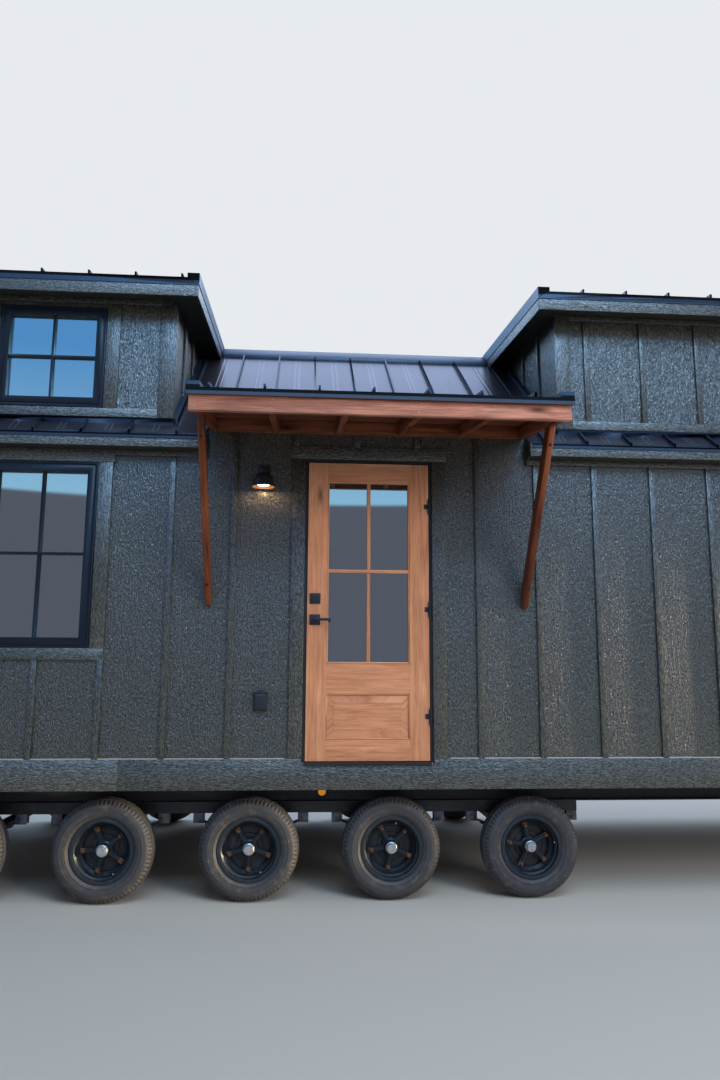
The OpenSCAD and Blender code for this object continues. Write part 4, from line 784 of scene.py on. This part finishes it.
def tyre_outline():
    """The tyre's section: sidewalls with two raised rings, and a tread with four grooves."""
    middle, half = (TYRE_R + BEAD_R) / 2, (TYRE_R - BEAD_R) / 2
    side = []
    for step in range(18, 8, -1):
        turn = radians(7.5 * step)
        flat, high = cos(turn), sin(turn)
        z = TYRE_HALF * abs(high) ** (2 / 2.6)
        radius = middle + half * (1 if flat > 0 else -1) * abs(flat) ** (2 / 2.6)
        side.append((radius, z))
        if step in (12, 15):
            side += [(radius + 0.001, z + 0.0014), (radius + 0.006, z + 0.0014), (radius + 0.007, z)]
    tread = []
    for z, cut in ((0.080, 0), (0.072, 0), (0.0575, 0), (0.0565, 1), (0.0515, 1), (0.0505, 0), (0.036, 0),
                   (0.0215, 0), (0.0205, 1), (0.0155, 1), (0.0145, 0), (0.0, 0)):
        tread.append((tyre_radius(z) - 0.007 * cut, z))
    outer = side + tread
    bead_z = RIM_HALF - RIM_T - BEAD_GAP
    inner = [(BEAD_R + BEAD_GAP, bead_z), (BEAD_R + BEAD_GAP, -bead_z)]
    return [(r, -z) for r, z in outer] + [(r, z) for r, z in reversed(outer[:-1])] + inner


def tyre_shape():
    """A tyre round Z with crosswise cuts in the shoulders of its tread."""
    bm = bmesh.new()
    turned(bm, tyre_outline(), TYRE_STEPS)
    for vert in bm.verts:
        radius = vert.co.xy.length
        if radius > TYRE_R - 0.030 and 0.055 < abs(vert.co.z) < 0.087:
            step = round(vert.co.xy.angle_signed(Vector((1, 0))) / (2 * pi / TYRE_STEPS))
            if step % 3 == 0:
                vert.co.xy *= 1 - 0.008 / radius
    return bm


def rim_outline():
    """The demountable rim's section, with its flanges, bead seats, well and clamping lip."""
    w, t, bead = RIM_HALF, RIM_T, BEAD_R
    return [(FLANGE_R, -w), (FLANGE_R, -w + t), (bead, -w + t), (bead, -w + 0.024),
            (bead - 0.014, -w + 0.034), (bead - 0.016, w - 0.034), (bead, w - 0.024), (bead, w - t),
            (FLANGE_R, w - t), (FLANGE_R, w), (bead - 0.006, w), (bead - 0.006, w - 0.022),
            (bead - 0.022, w - 0.034), (bead - 0.022, 0.019), (LIP_R, 0.019), (LIP_R, 0.009),
            (bead - 0.030, -0.004), (bead - 0.024, -0.012), (bead - 0.020, -w + 0.034),
            (bead - 0.008, -w + 0.024), (bead - 0.006, -w + 0.010), (bead - 0.006, -w)]


def wheel_spoke(bm):
    """A spoke towards X with its rib, its rusty clamp, nut and stud; returns its vertices."""
    made = prism(bm, [(0.036, -0.024), (0.060, -0.014), (LIP_R + 0.003, -0.013), (LIP_R + 0.003, 0.013),
                      (0.060, 0.014), (0.036, 0.024)], 0.0, 0.034)
    made += prism(bm, [(0.036, -0.013), (0.054, -0.0055), (CLAMP_R - 0.010, -0.0045),
                       (CLAMP_R - 0.010, 0.0045), (0.054, 0.0055), (0.036, 0.013)], -0.014, 0.002)
    made += prism(bm, [(CLAMP_R - 0.013, -0.012), (CLAMP_R + 0.006, -0.0165), (LIP_R + 0.008, -0.015),
                       (LIP_R + 0.008, 0.015), (CLAMP_R + 0.006, 0.0165), (CLAMP_R - 0.013, 0.012)],
                  -0.008, 0.006, 1)
    made += rod(bm, (CLAMP_R, 0, -0.024), (CLAMP_R, 0, -0.006), 0.0115, 6, material=1)
    made += rod(bm, (CLAMP_R, 0, -0.031), (CLAMP_R, 0, -0.020), 0.0062, 12, material=1)
    fresh = set(made)
    edges = [edge for edge in bm.edges if edge.verts[0] in fresh and len(edge.link_faces) == 2
             and edge.calc_face_angle(0) > radians(40)]
    rounded = bevel(bm, edges, 0.0012, 1)
    return [vert for vert in fresh | set(rounded) if vert.is_valid]


def valve_stem(bm, angle):
    """A rubber valve stem with its cap, leaning out of the rim."""
    turn = radians(angle)
    foot = Vector((0.1635 * cos(turn), 0.1635 * sin(turn), -0.040))
    lean = Vector((-0.25 * cos(turn), -0.25 * sin(turn), -1)).normalized()
    rod(bm, foot, foot + lean * 0.010, 0.0075, 16, 0.0045, material=4)
    rod(bm, foot + lean * 0.008, foot + lean * 0.022, 0.0040, 12, material=4)
    rod(bm, foot + lean * 0.020, foot + lean * 0.031, 0.0046, 12, 0.0038, material=2)


def wheel_shape(valve):
    """The demountable rim, the drum, the hub with its cap, and five spokes with clamps, round Z."""
    bm = bmesh.new()
    turned(bm, rim_outline(), 120)
    ease(bm, 0.0018, angle=28)
    turned(bm, [(0.0, 0.085), (0.0, 0.036), (0.060, 0.036), (0.064, 0.031), (0.084, 0.031), (0.088, 0.037),
                (0.100, 0.037), (0.102, 0.033), (0.122, 0.033), (0.124, 0.038), (0.132, 0.038),
                (0.136, 0.034), (0.149, 0.036), (0.150, 0.040), (0.150, 0.085)], 96, 3)
    turned(bm, [(0.0, 0.085), (0.0, -0.050), (0.036, -0.050), (0.040, -0.046), (0.040, -0.034),
                (0.042, -0.030), (0.042, -0.006), (0.052, 0.002), (0.052, 0.034), (HUB_R, 0.040),
                (HUB_R, 0.085)], 64)
    turned(bm, [(0.0, -0.0765), (0.012, -0.0770), (0.025, -0.0780), (0.0285, -0.0770), (0.0305, -0.0735),
                (0.0315, -0.062), (CAP_R, -0.060), (CAP_R, -0.055), (0.0365, -0.054), (0.0365, -0.049),
                (0.0, -0.049)], 64, 2)
    for i in range(SPOKES):
        spoke = wheel_spoke(bm)
        bmesh.ops.rotate(bm, matrix=Matrix.Rotation(2 * pi * i / SPOKES, 3, "Z"), verts=spoke)
    valve_stem(bm, valve)
    return bm


def set_on_axle(bm, i, turn, back):
    """Turns a wheel made round Z, its outer side down, and puts it on its spindle."""
    x = AXLE_X + (i - (AXLES - 1) / 2) * AXLE_PITCH
    y = 2 * MID_Y - WHEEL_Y if back else WHEEL_Y
    bmesh.ops.rotate(bm, matrix=Matrix.Rotation(radians(turn), 3, "Z"), verts=bm.verts)
    bmesh.ops.rotate(bm, matrix=Matrix.Rotation(radians(90 if back else -90), 3, "X"), verts=bm.verts)
    bmesh.ops.translate(bm, vec=(x, y, AXLE_Z), verts=bm.verts)


def make_wheels():
    for side, turns in (("front", WHEEL_TURNS), ("back", WHEEL_TURNS[::-1])):
        back = side == "back"
        for i in range(AXLES):
            body = f"{side}_wheel_{i + 1}"
            tyre, wheel = f"tyre_{side[0]}{i + 1}", f"wheel_{side[0]}{i + 1}"
            bm = tyre_shape()
            set_on_axle(bm, i, turns[i], back)
            piece(tyre + "_finished", bm, "rubber", body, (tyre,), smooth=40)
            bm = wheel_shape(-VALVE_ANGLES[i] - turns[i])
            set_on_axle(bm, i, turns[i], back)
            piece(wheel + "_finished", bm, "rim", body, (wheel,), looks=("rust", "cap", "steel", "rubber"))


def make_trailer():
    for node in ("main_beams", "floor_frame", "drawbar"):
        eased_node(node, "steel", 0.0015)
    paint_node("axles", "steel")
    paint_node("leaf_springs", "steel")
    eased_node("spring_hangers", "zinc", 0.001)
    make_wheels()


# Door

LEAF_HALF = (leaf_hi.x - leaf_lo.x) / 2
LEAF_Z0 = leaf_lo.z
LEAF_Z1 = leaf_hi.z
LEAF_T = leaf_hi.y - leaf_lo.y
STILE = 0.129
TOP_RAIL = 0.126
LIGHT_H = 1.205
BOTTOM_RAIL = 0.134
PANEL_H = 0.288
DOOR_BAR = 0.024
MOULDING = 0.010
LEVER_X = -(LEAF_HALF - STILE / 2 + 0.012)
LEVER_Z = FLOOR_Z + 0.903
LOCK_Z = LEVER_Z + 0.138
ROSE = 0.069


def make_leaf():
    """Stiles, rails, a raised panel, the mouldings round panel and glass, and the bars over the glass."""
    inner = LEAF_HALF - STILE
    light_z0 = LEAF_Z1 - TOP_RAIL - LIGHT_H
    light_z1 = LEAF_Z1 - TOP_RAIL
    panel_z0 = LEAF_Z0 + BOTTOM_RAIL
    panel_z1 = panel_z0 + PANEL_H

    bm = bmesh.new()
    for side in (-1, 1):
        x0, x1 = sorted((side * inner, side * LEAF_HALF))
        box(bm, (x0, 0, LEAF_Z0), (x1, LEAF_T, LEAF_Z1))
    for z0, z1 in ((LEAF_Z0, panel_z0), (panel_z1, light_z0), (light_z1, LEAF_Z1)):
        box(bm, (-inner, 0, z0), (inner, LEAF_T, z1))
    mark_grain(bm, 21)
    ease(bm, 0.0008, segments=1)
    piece("door_rails", bm, "door", "door", ("door_leaf",))

    bm = bmesh.new()
    middle = (light_z0 + light_z1) / 2
    bar = DOOR_BAR / 2
    for y0, y1 in ((0.004, 0.0175), (LEAF_T - 0.0175, LEAF_T - 0.004)):
        box(bm, (-bar, y0, light_z0), (bar, y1, middle - bar))
        box(bm, (-bar, y0, middle + bar), (bar, y1, light_z1))
        box(bm, (-inner, y0, middle - bar), (inner, y1, middle + bar))
    mark_grain(bm, 22)
    ease(bm, 0.0055, segments=3)
    piece("door_bars", bm, "door", "door", smooth=50)

    bm = bmesh.new()
    for z0, z1 in ((light_z0, light_z1), (panel_z0, panel_z1)):
        for y0, y1 in ((0.003, 0.014), (LEAF_T - 0.014, LEAF_T - 0.003)):
            for side in (-1, 1):
                x0, x1 = sorted((side * inner, side * (inner - MOULDING)))
                box(bm, (x0, y0, z0), (x1, y1, z1))
            box(bm, (-inner, y0, z0), (inner, y1, z0 + MOULDING))
            box(bm, (-inner, y0, z1 - MOULDING), (inner, y1, z1))
    mark_grain(bm, 23)
    ease(bm, 0.0045, segments=3)
    piece("door_mouldings", bm, "door", "door", smooth=50)

    bm = bmesh.new()
    box(bm, (-inner, 0.014, panel_z0), (inner, LEAF_T - 0.014, panel_z1))
    mark_grain(bm, 24)
    for facing in (-1, 1):
        face = max(bm.faces, key=lambda f: f.normal.y * facing * f.calc_area())
        for thickness, depth in ((0.012, 0.0), (0.040, 0.0085), (0.0015, 0.0015)):
            bmesh.ops.inset_region(bm, faces=[face], thickness=thickness, depth=depth, use_even_offset=True)
    piece("door_panel", bm, "door", "door", smooth=15)


def make_lock():
    """Square roses on both faces, the lock's disc with its keyway, its inner knob and the inner lever."""
    bm = bmesh.new()
    half = ROSE / 2
    for z, depth in ((LEVER_Z, 0.008), (LOCK_Z, 0.010)):
        box(bm, (LEVER_X - half, -depth, z - half), (LEVER_X + half, 0, z + half))
        box(bm, (LEVER_X - half, LEAF_T, z - half), (LEVER_X + half, LEAF_T + depth, z + half))
    ease(bm, 0.0025, segments=3)
    rod(bm, (LEVER_X, -0.016, LOCK_Z), (LEVER_X, -0.009, LOCK_Z), 0.017, 40)
    rod(bm, (LEVER_X, LEAF_T + 0.009, LOCK_Z), (LEVER_X, LEAF_T + 0.018, LOCK_Z), 0.013, 32)
    box(bm, (LEVER_X - 0.0012, -0.0166, LOCK_Z - 0.006), (LEVER_X + 0.0012, -0.0155, LOCK_Z + 0.006), 1)
    rod(bm, (LEVER_X, LEAF_T + 0.007, LEVER_Z), (LEVER_X, LEAF_T + 0.050, LEVER_Z), 0.009, 32)
    box(bm, (LEVER_X - 0.009, LEAF_T + 0.040, LEVER_Z - 0.009),
        (LEVER_X + 0.100, LEAF_T + 0.050, LEVER_Z + 0.009))
    piece("door_lock_finished", bm, "black", "door", ("door_lock",), looks=("steel",))


def make_lever():
    """The outer lever on its neck."""
    bm = bmesh.new()
    box(bm, (LEVER_X - 0.009, -0.056, LEVER_Z - 0.009), (LEVER_X + 0.102, -0.046, LEVER_Z + 0.009))
    ease(bm, 0.0022, segments=3)
    rod(bm, (LEVER_X, -0.0475, LEVER_Z), (LEVER_X, -0.0003, LEVER_Z), 0.009, 40)
    rod(bm, (LEVER_X, -0.014, LEVER_Z), (LEVER_X, -0.009, LEVER_Z), 0.013, 40)
    piece("door_lever_finished", bm, "black", "lever", ("door_lever",))


def make_door():
    paint_node("door_frame", "black")
    paint_node("door_hinges", "black")
    make_leaf()
    make_lock()
    make_lever()


# Fittings

LAMP_R = 0.074
LAMP_X = middle_of("wall_lamp").x
LAMP_Y = -(LAMP_R + 0.045)
LAMP_Z = house_box("wall_lamp")[0].z
LAMP = Vector((LAMP_X, LAMP_Y, LAMP_Z))
OUTLET_X = middle_of("outlet_cover").x
OUTLET_Z = middle_of("outlet_cover").z
MARKER = middle_of("side_markers")
MARKER_OUT = 0.018


def make_lamp():
    """The shade with its lining, its arm and wall plate, and the bulb inside."""
    bm = bmesh.new()
    turned(bm, [(LAMP_R - 0.001, 0.0), (LAMP_R, 0.002), (LAMP_R, 0.006), (LAMP_R - 0.003, 0.010),
                (0.068, 0.026), (0.0635, 0.045), (0.056, 0.064), (0.046, 0.080), (0.0345, 0.089),
                (0.032, 0.092), (0.032, 0.126), (0.029, 0.131), (0.0, 0.131)], 64, closed=False)
    turned(bm, [(0.0, 0.082), (0.030, 0.080), (0.044, 0.070), (0.053, 0.055), (0.060, 0.034),
                (LAMP_R - 0.007, 0.012), (LAMP_R - 0.004, 0.002), (LAMP_R - 0.001, 0.0)], 64, 1, closed=False)
    bmesh.ops.remove_doubles(bm, verts=bm.verts, dist=1e-5)
    bmesh.ops.recalc_face_normals(bm, faces=bm.faces)
    bmesh.ops.translate(bm, vec=LAMP, verts=bm.verts)
    arm_z = LAMP_Z + 0.118
    rod(bm, (LAMP_X, LAMP_Y, arm_z), (LAMP_X, -0.006, arm_z), 0.009, 24)
    rod(bm, (LAMP_X, -0.034, arm_z), (LAMP_X, -0.012, arm_z), 0.020, 32)
    plate = box(bm, (LAMP_X - 0.038, -0.019, LAMP_Z + 0.077), (LAMP_X + 0.038, 0, LAMP_Z + 0.169))
    bevel(bm, list({edge for vert in plate for edge in vert.link_edges}), 0.004, 3)
    piece("wall_lamp_finished", bm, "black", replaces=("wall_lamp",), looks=("shade",))

    bm = bmesh.new()
    turned(bm, [(0.0, 0.060), (0.014, 0.060), (0.016, 0.050), (0.034, 0.032), (0.040, 0.022), (0.040, 0.016),
                (0.036, 0.012), (0.0, 0.010)], 40)
    bmesh.ops.translate(bm, vec=LAMP, verts=bm.verts)
    piece("lamp_bulb", bm, "bulb")


def make_outlet():
    """The plate with its top lip, the domed cover, its hinge and its latch."""
    x, z = OUTLET_X, OUTLET_Z
    bm = bmesh.new()
    box(bm, (x - 0.044, -0.010, z - 0.060), (x + 0.044, 0, z + 0.060))
    box(bm, (x - 0.044, -0.026, z + 0.048), (x + 0.044, -0.004, z + 0.060))
    ease(bm, 0.002)
    cover = box(bm, (x - 0.041, -0.045, z - 0.058), (x + 0.038, -0.009, z + 0.050))
    edges = [edge for edge in {edge for vert in cover for edge in vert.link_edges}
             if min(vert.co.y for vert in edge.verts) < -0.04]
    bevel(bm, edges, 0.012, 4)
    rod(bm, (x - 0.012, -0.016, z + 0.064), (x + 0.012, -0.016, z + 0.064), 0.006, 16)
    box(bm, (x + 0.036, -0.030, z - 0.040), (x + 0.044, -0.008, z - 0.018))
    piece("outlet_cover_finished", bm, "plastic", replaces=("outlet_cover",))


def make_markers():
    """An amber lens in a black grommet on each outer side of the main beams."""
    bm = bmesh.new()
    beam_face = house_box("side_markers")[0].y + MARKER_OUT
    for side, y in ((-1, beam_face), (1, 2 * MID_Y - beam_face)):
        made = turned(bm, [(0.0, 0.0), (0.038, 0.0), (0.038, 0.006), (0.035, 0.010), (0.029, 0.011),
                           (0.027, 0.008), (0.0, 0.008)], 48)
        made += turned(bm, [(0.0, 0.007), (0.026, 0.007), (0.026, 0.012), (0.022, 0.0155), (0.012, 0.0175),
                            (0.0, 0.018)], 48, 1)
        bmesh.ops.rotate(bm, matrix=Matrix.Rotation(radians(-90 * side), 3, "X"), verts=made)
        bmesh.ops.translate(bm, vec=(MARKER.x, y, MARKER.z), verts=made)
    piece("side_markers_finished", bm, "plastic", replaces=("side_markers",), looks=("amber",))


def make_fittings():
    make_lamp()
    make_outlet()
    make_markers()


# Stage, light and camera

FLOOR_REACH = 60.0
BACKDROP = (0.80, 0.83, 0.86)
DIM_LIGHT = (0.27, 0.28, 0.30)
DUSK = (0.19, 0.17, 0.24)
HORIZON = 0.1965
SKY = ((0.0, DUSK), (HORIZON - 0.001, DUSK), (HORIZON, (0.54, 0.82, 1.25)), (0.36, (0.18, 0.46, 1.05)),
       (0.88, (0.22, 0.40, 0.85)), (1.0, (0.21, 0.25, 0.34)))
LAMP_AIM = Vector((0, 0, 1.8))
LENS_PIXELS = 799.1
PHOTO_H = 1080


def fade_to_backdrop(look):
    """Lets the far floor turn into the backdrop's colour, for the camera alone."""
    where = look.node("ShaderNodeTexCoord").outputs["Object"]
    far = look.node("ShaderNodeVectorMath", {0: where}, operation="LENGTH").outputs["Value"]
    share = look.ramp(look.math("DIVIDE", far, FLOOR_REACH), (0.15, 0.0), (0.28, 0.75), (0.50, 1.0))
    seen = look.node("ShaderNodeLightPath").outputs["Is Camera Ray"]
    backdrop = look.node("ShaderNodeEmission", {"Color": (*BACKDROP, 1.0)})
    blend = look.node("ShaderNodeMixShader", {0: look.math("MULTIPLY", share, seen),
                                              1: look.shader.outputs[0], 2: backdrop.outputs[0]})
    look.tree.links.new(blend.outputs[0], look.tree.nodes["Material Output"].inputs["Surface"])


def make_ground():
    bm = bmesh.new()
    bmesh.ops.create_grid(bm, x_segments=1, y_segments=1, size=FLOOR_REACH)
    mesh = bpy.data.meshes.new("ground")
    bm.to_mesh(mesh)
    bm.free()
    ground = bpy.data.objects.new("ground", mesh)
    scene.collection.objects.link(ground)
    look = Look("ground", (0.54, 0.54, 0.53), 0.9)
    fade_to_backdrop(look)
    mesh.materials.append(look.material)


def make_world():
    """A plain backdrop for the camera, a dim even light, and a sky for gloss and what shows through."""
    world = bpy.data.worlds.new("studio")
    scene.world = world
    world.use_nodes = True
    world.cycles.sampling_method = "NONE"
    nodes = Nodes(world.node_tree)
    rays = nodes.node("ShaderNodeLightPath").outputs
    height = nodes.split(nodes.node("ShaderNodeTexCoord").outputs["Generated"])["Z"]
    mirrored = nodes.math("MAXIMUM", rays["Is Glossy Ray"], rays["Is Transmission Ray"])
    plain = nodes.mix(rays["Is Camera Ray"], DIM_LIGHT, BACKDROP)
    colour = nodes.mix(mirrored, plain, nodes.ramp(height, *SKY))
    nodes.feed(nodes.tree.nodes["Background"].inputs["Color"], colour)


def shine(name, kind, place, aim, power, colour, **settings):
    """A lamp at a place, aimed along a direction."""
    lamp = bpy.data.lights.new(name, kind)
    lamp.energy = power
    lamp.color = colour
    for key, value in settings.items():
        setattr(lamp, key, value)
    obj = bpy.data.objects.new(name, lamp)
    obj.location = place
    obj.rotation_euler = Vector(aim).to_track_quat("-Z", "Y").to_euler()
    scene.collection.objects.link(obj)
    return obj


def make_lamps():
    """Large soft lamps all round, a cool sheen for glossy surfaces, two low warm ones, and the wall lamp."""
    for name, place, size, power, colour in (("key", (6.0, -10.5, 5.4), 4.0, 640.0, (1.0, 0.97, 0.92)),
                                             ("sky", (1.0, -7.6, 10.4), 7.0, 650.0, (0.72, 0.87, 1.0)),
                                             ("back", (7.0, 8.0, 8.4), 7.0, 700.0, (0.82, 0.91, 1.0)),
                                             ("left", (-7.0, 8.0, 8.0), 6.0, 420.0, (0.55, 0.80, 1.0)),
                                             ("rim", (0.0, 9.0, 12.5), 7.0, 370.0, (0.66, 0.76, 1.0))):
        lamp = shine(name, "AREA", place, LAMP_AIM - Vector(place), power, colour, size=size)
        lamp.visible_glossy = name != "key"
    sheen = shine("sheen", "AREA", HOUSE + Vector((0.8, -9.0, 9.9)), (0.0, 9.05, -6.1), 820.0,
                  (0.22, 0.58, 1.0), shape="RECTANGLE", size=9.0, size_y=3.4)
    sheen.visible_diffuse = False
    shine("graze", "SPOT", (9.5, -3.3, 0.45), (-11.1, 2.17, -0.09), 7600.0, (1.0, 0.78, 0.46),
          shadow_soft_size=0.15, spot_size=radians(5), spot_blend=0.5)
    shine("side", "SPOT", (14.0, -2.4, 1.8), (-15.6, 1.25, -0.85), 1650.0, (1.0, 0.82, 0.60),
          shadow_soft_size=0.25, spot_size=radians(13), spot_blend=0.6)
    shine("glow", "POINT", HOUSE + LAMP + Vector((0, 0, 0.007)), (0, 0, -1), 0.5, (1.0, 0.66, 0.36),
          shadow_soft_size=0.004)


def make_camera():
    """The photograph's place, direction and angle of view."""
    yaw, pitch, roll = radians(-4.14), radians(8.90), radians(0.31)
    right = Vector((cos(yaw), sin(yaw), 0))
    ahead = Vector((-sin(yaw) * cos(pitch), cos(yaw) * cos(pitch), sin(pitch)))
    up = right.cross(ahead)
    side = right * cos(roll) + up * sin(roll)
    top = up * cos(roll) - right * sin(roll)
    place = HOUSE + Vector((-0.436, -5.228, 1.483))
    camera = bpy.data.cameras.new("camera")
    camera.sensor_fit = "VERTICAL"
    camera.sensor_height = 36.0
    camera.lens = camera.sensor_height * LENS_PIXELS / PHOTO_H
    camera.clip_end = 300.0
    obj = bpy.data.objects.new("camera", camera)
    turn = Matrix((side, top, -ahead)).transposed().to_4x4()
    obj.matrix_world = Matrix.Translation(place) @ turn
    scene.collection.objects.link(obj)
    scene.camera = obj


make_shell()
make_trailer()
make_door()
make_fittings()
make_ground()
make_world()
make_lamps()
make_camera()
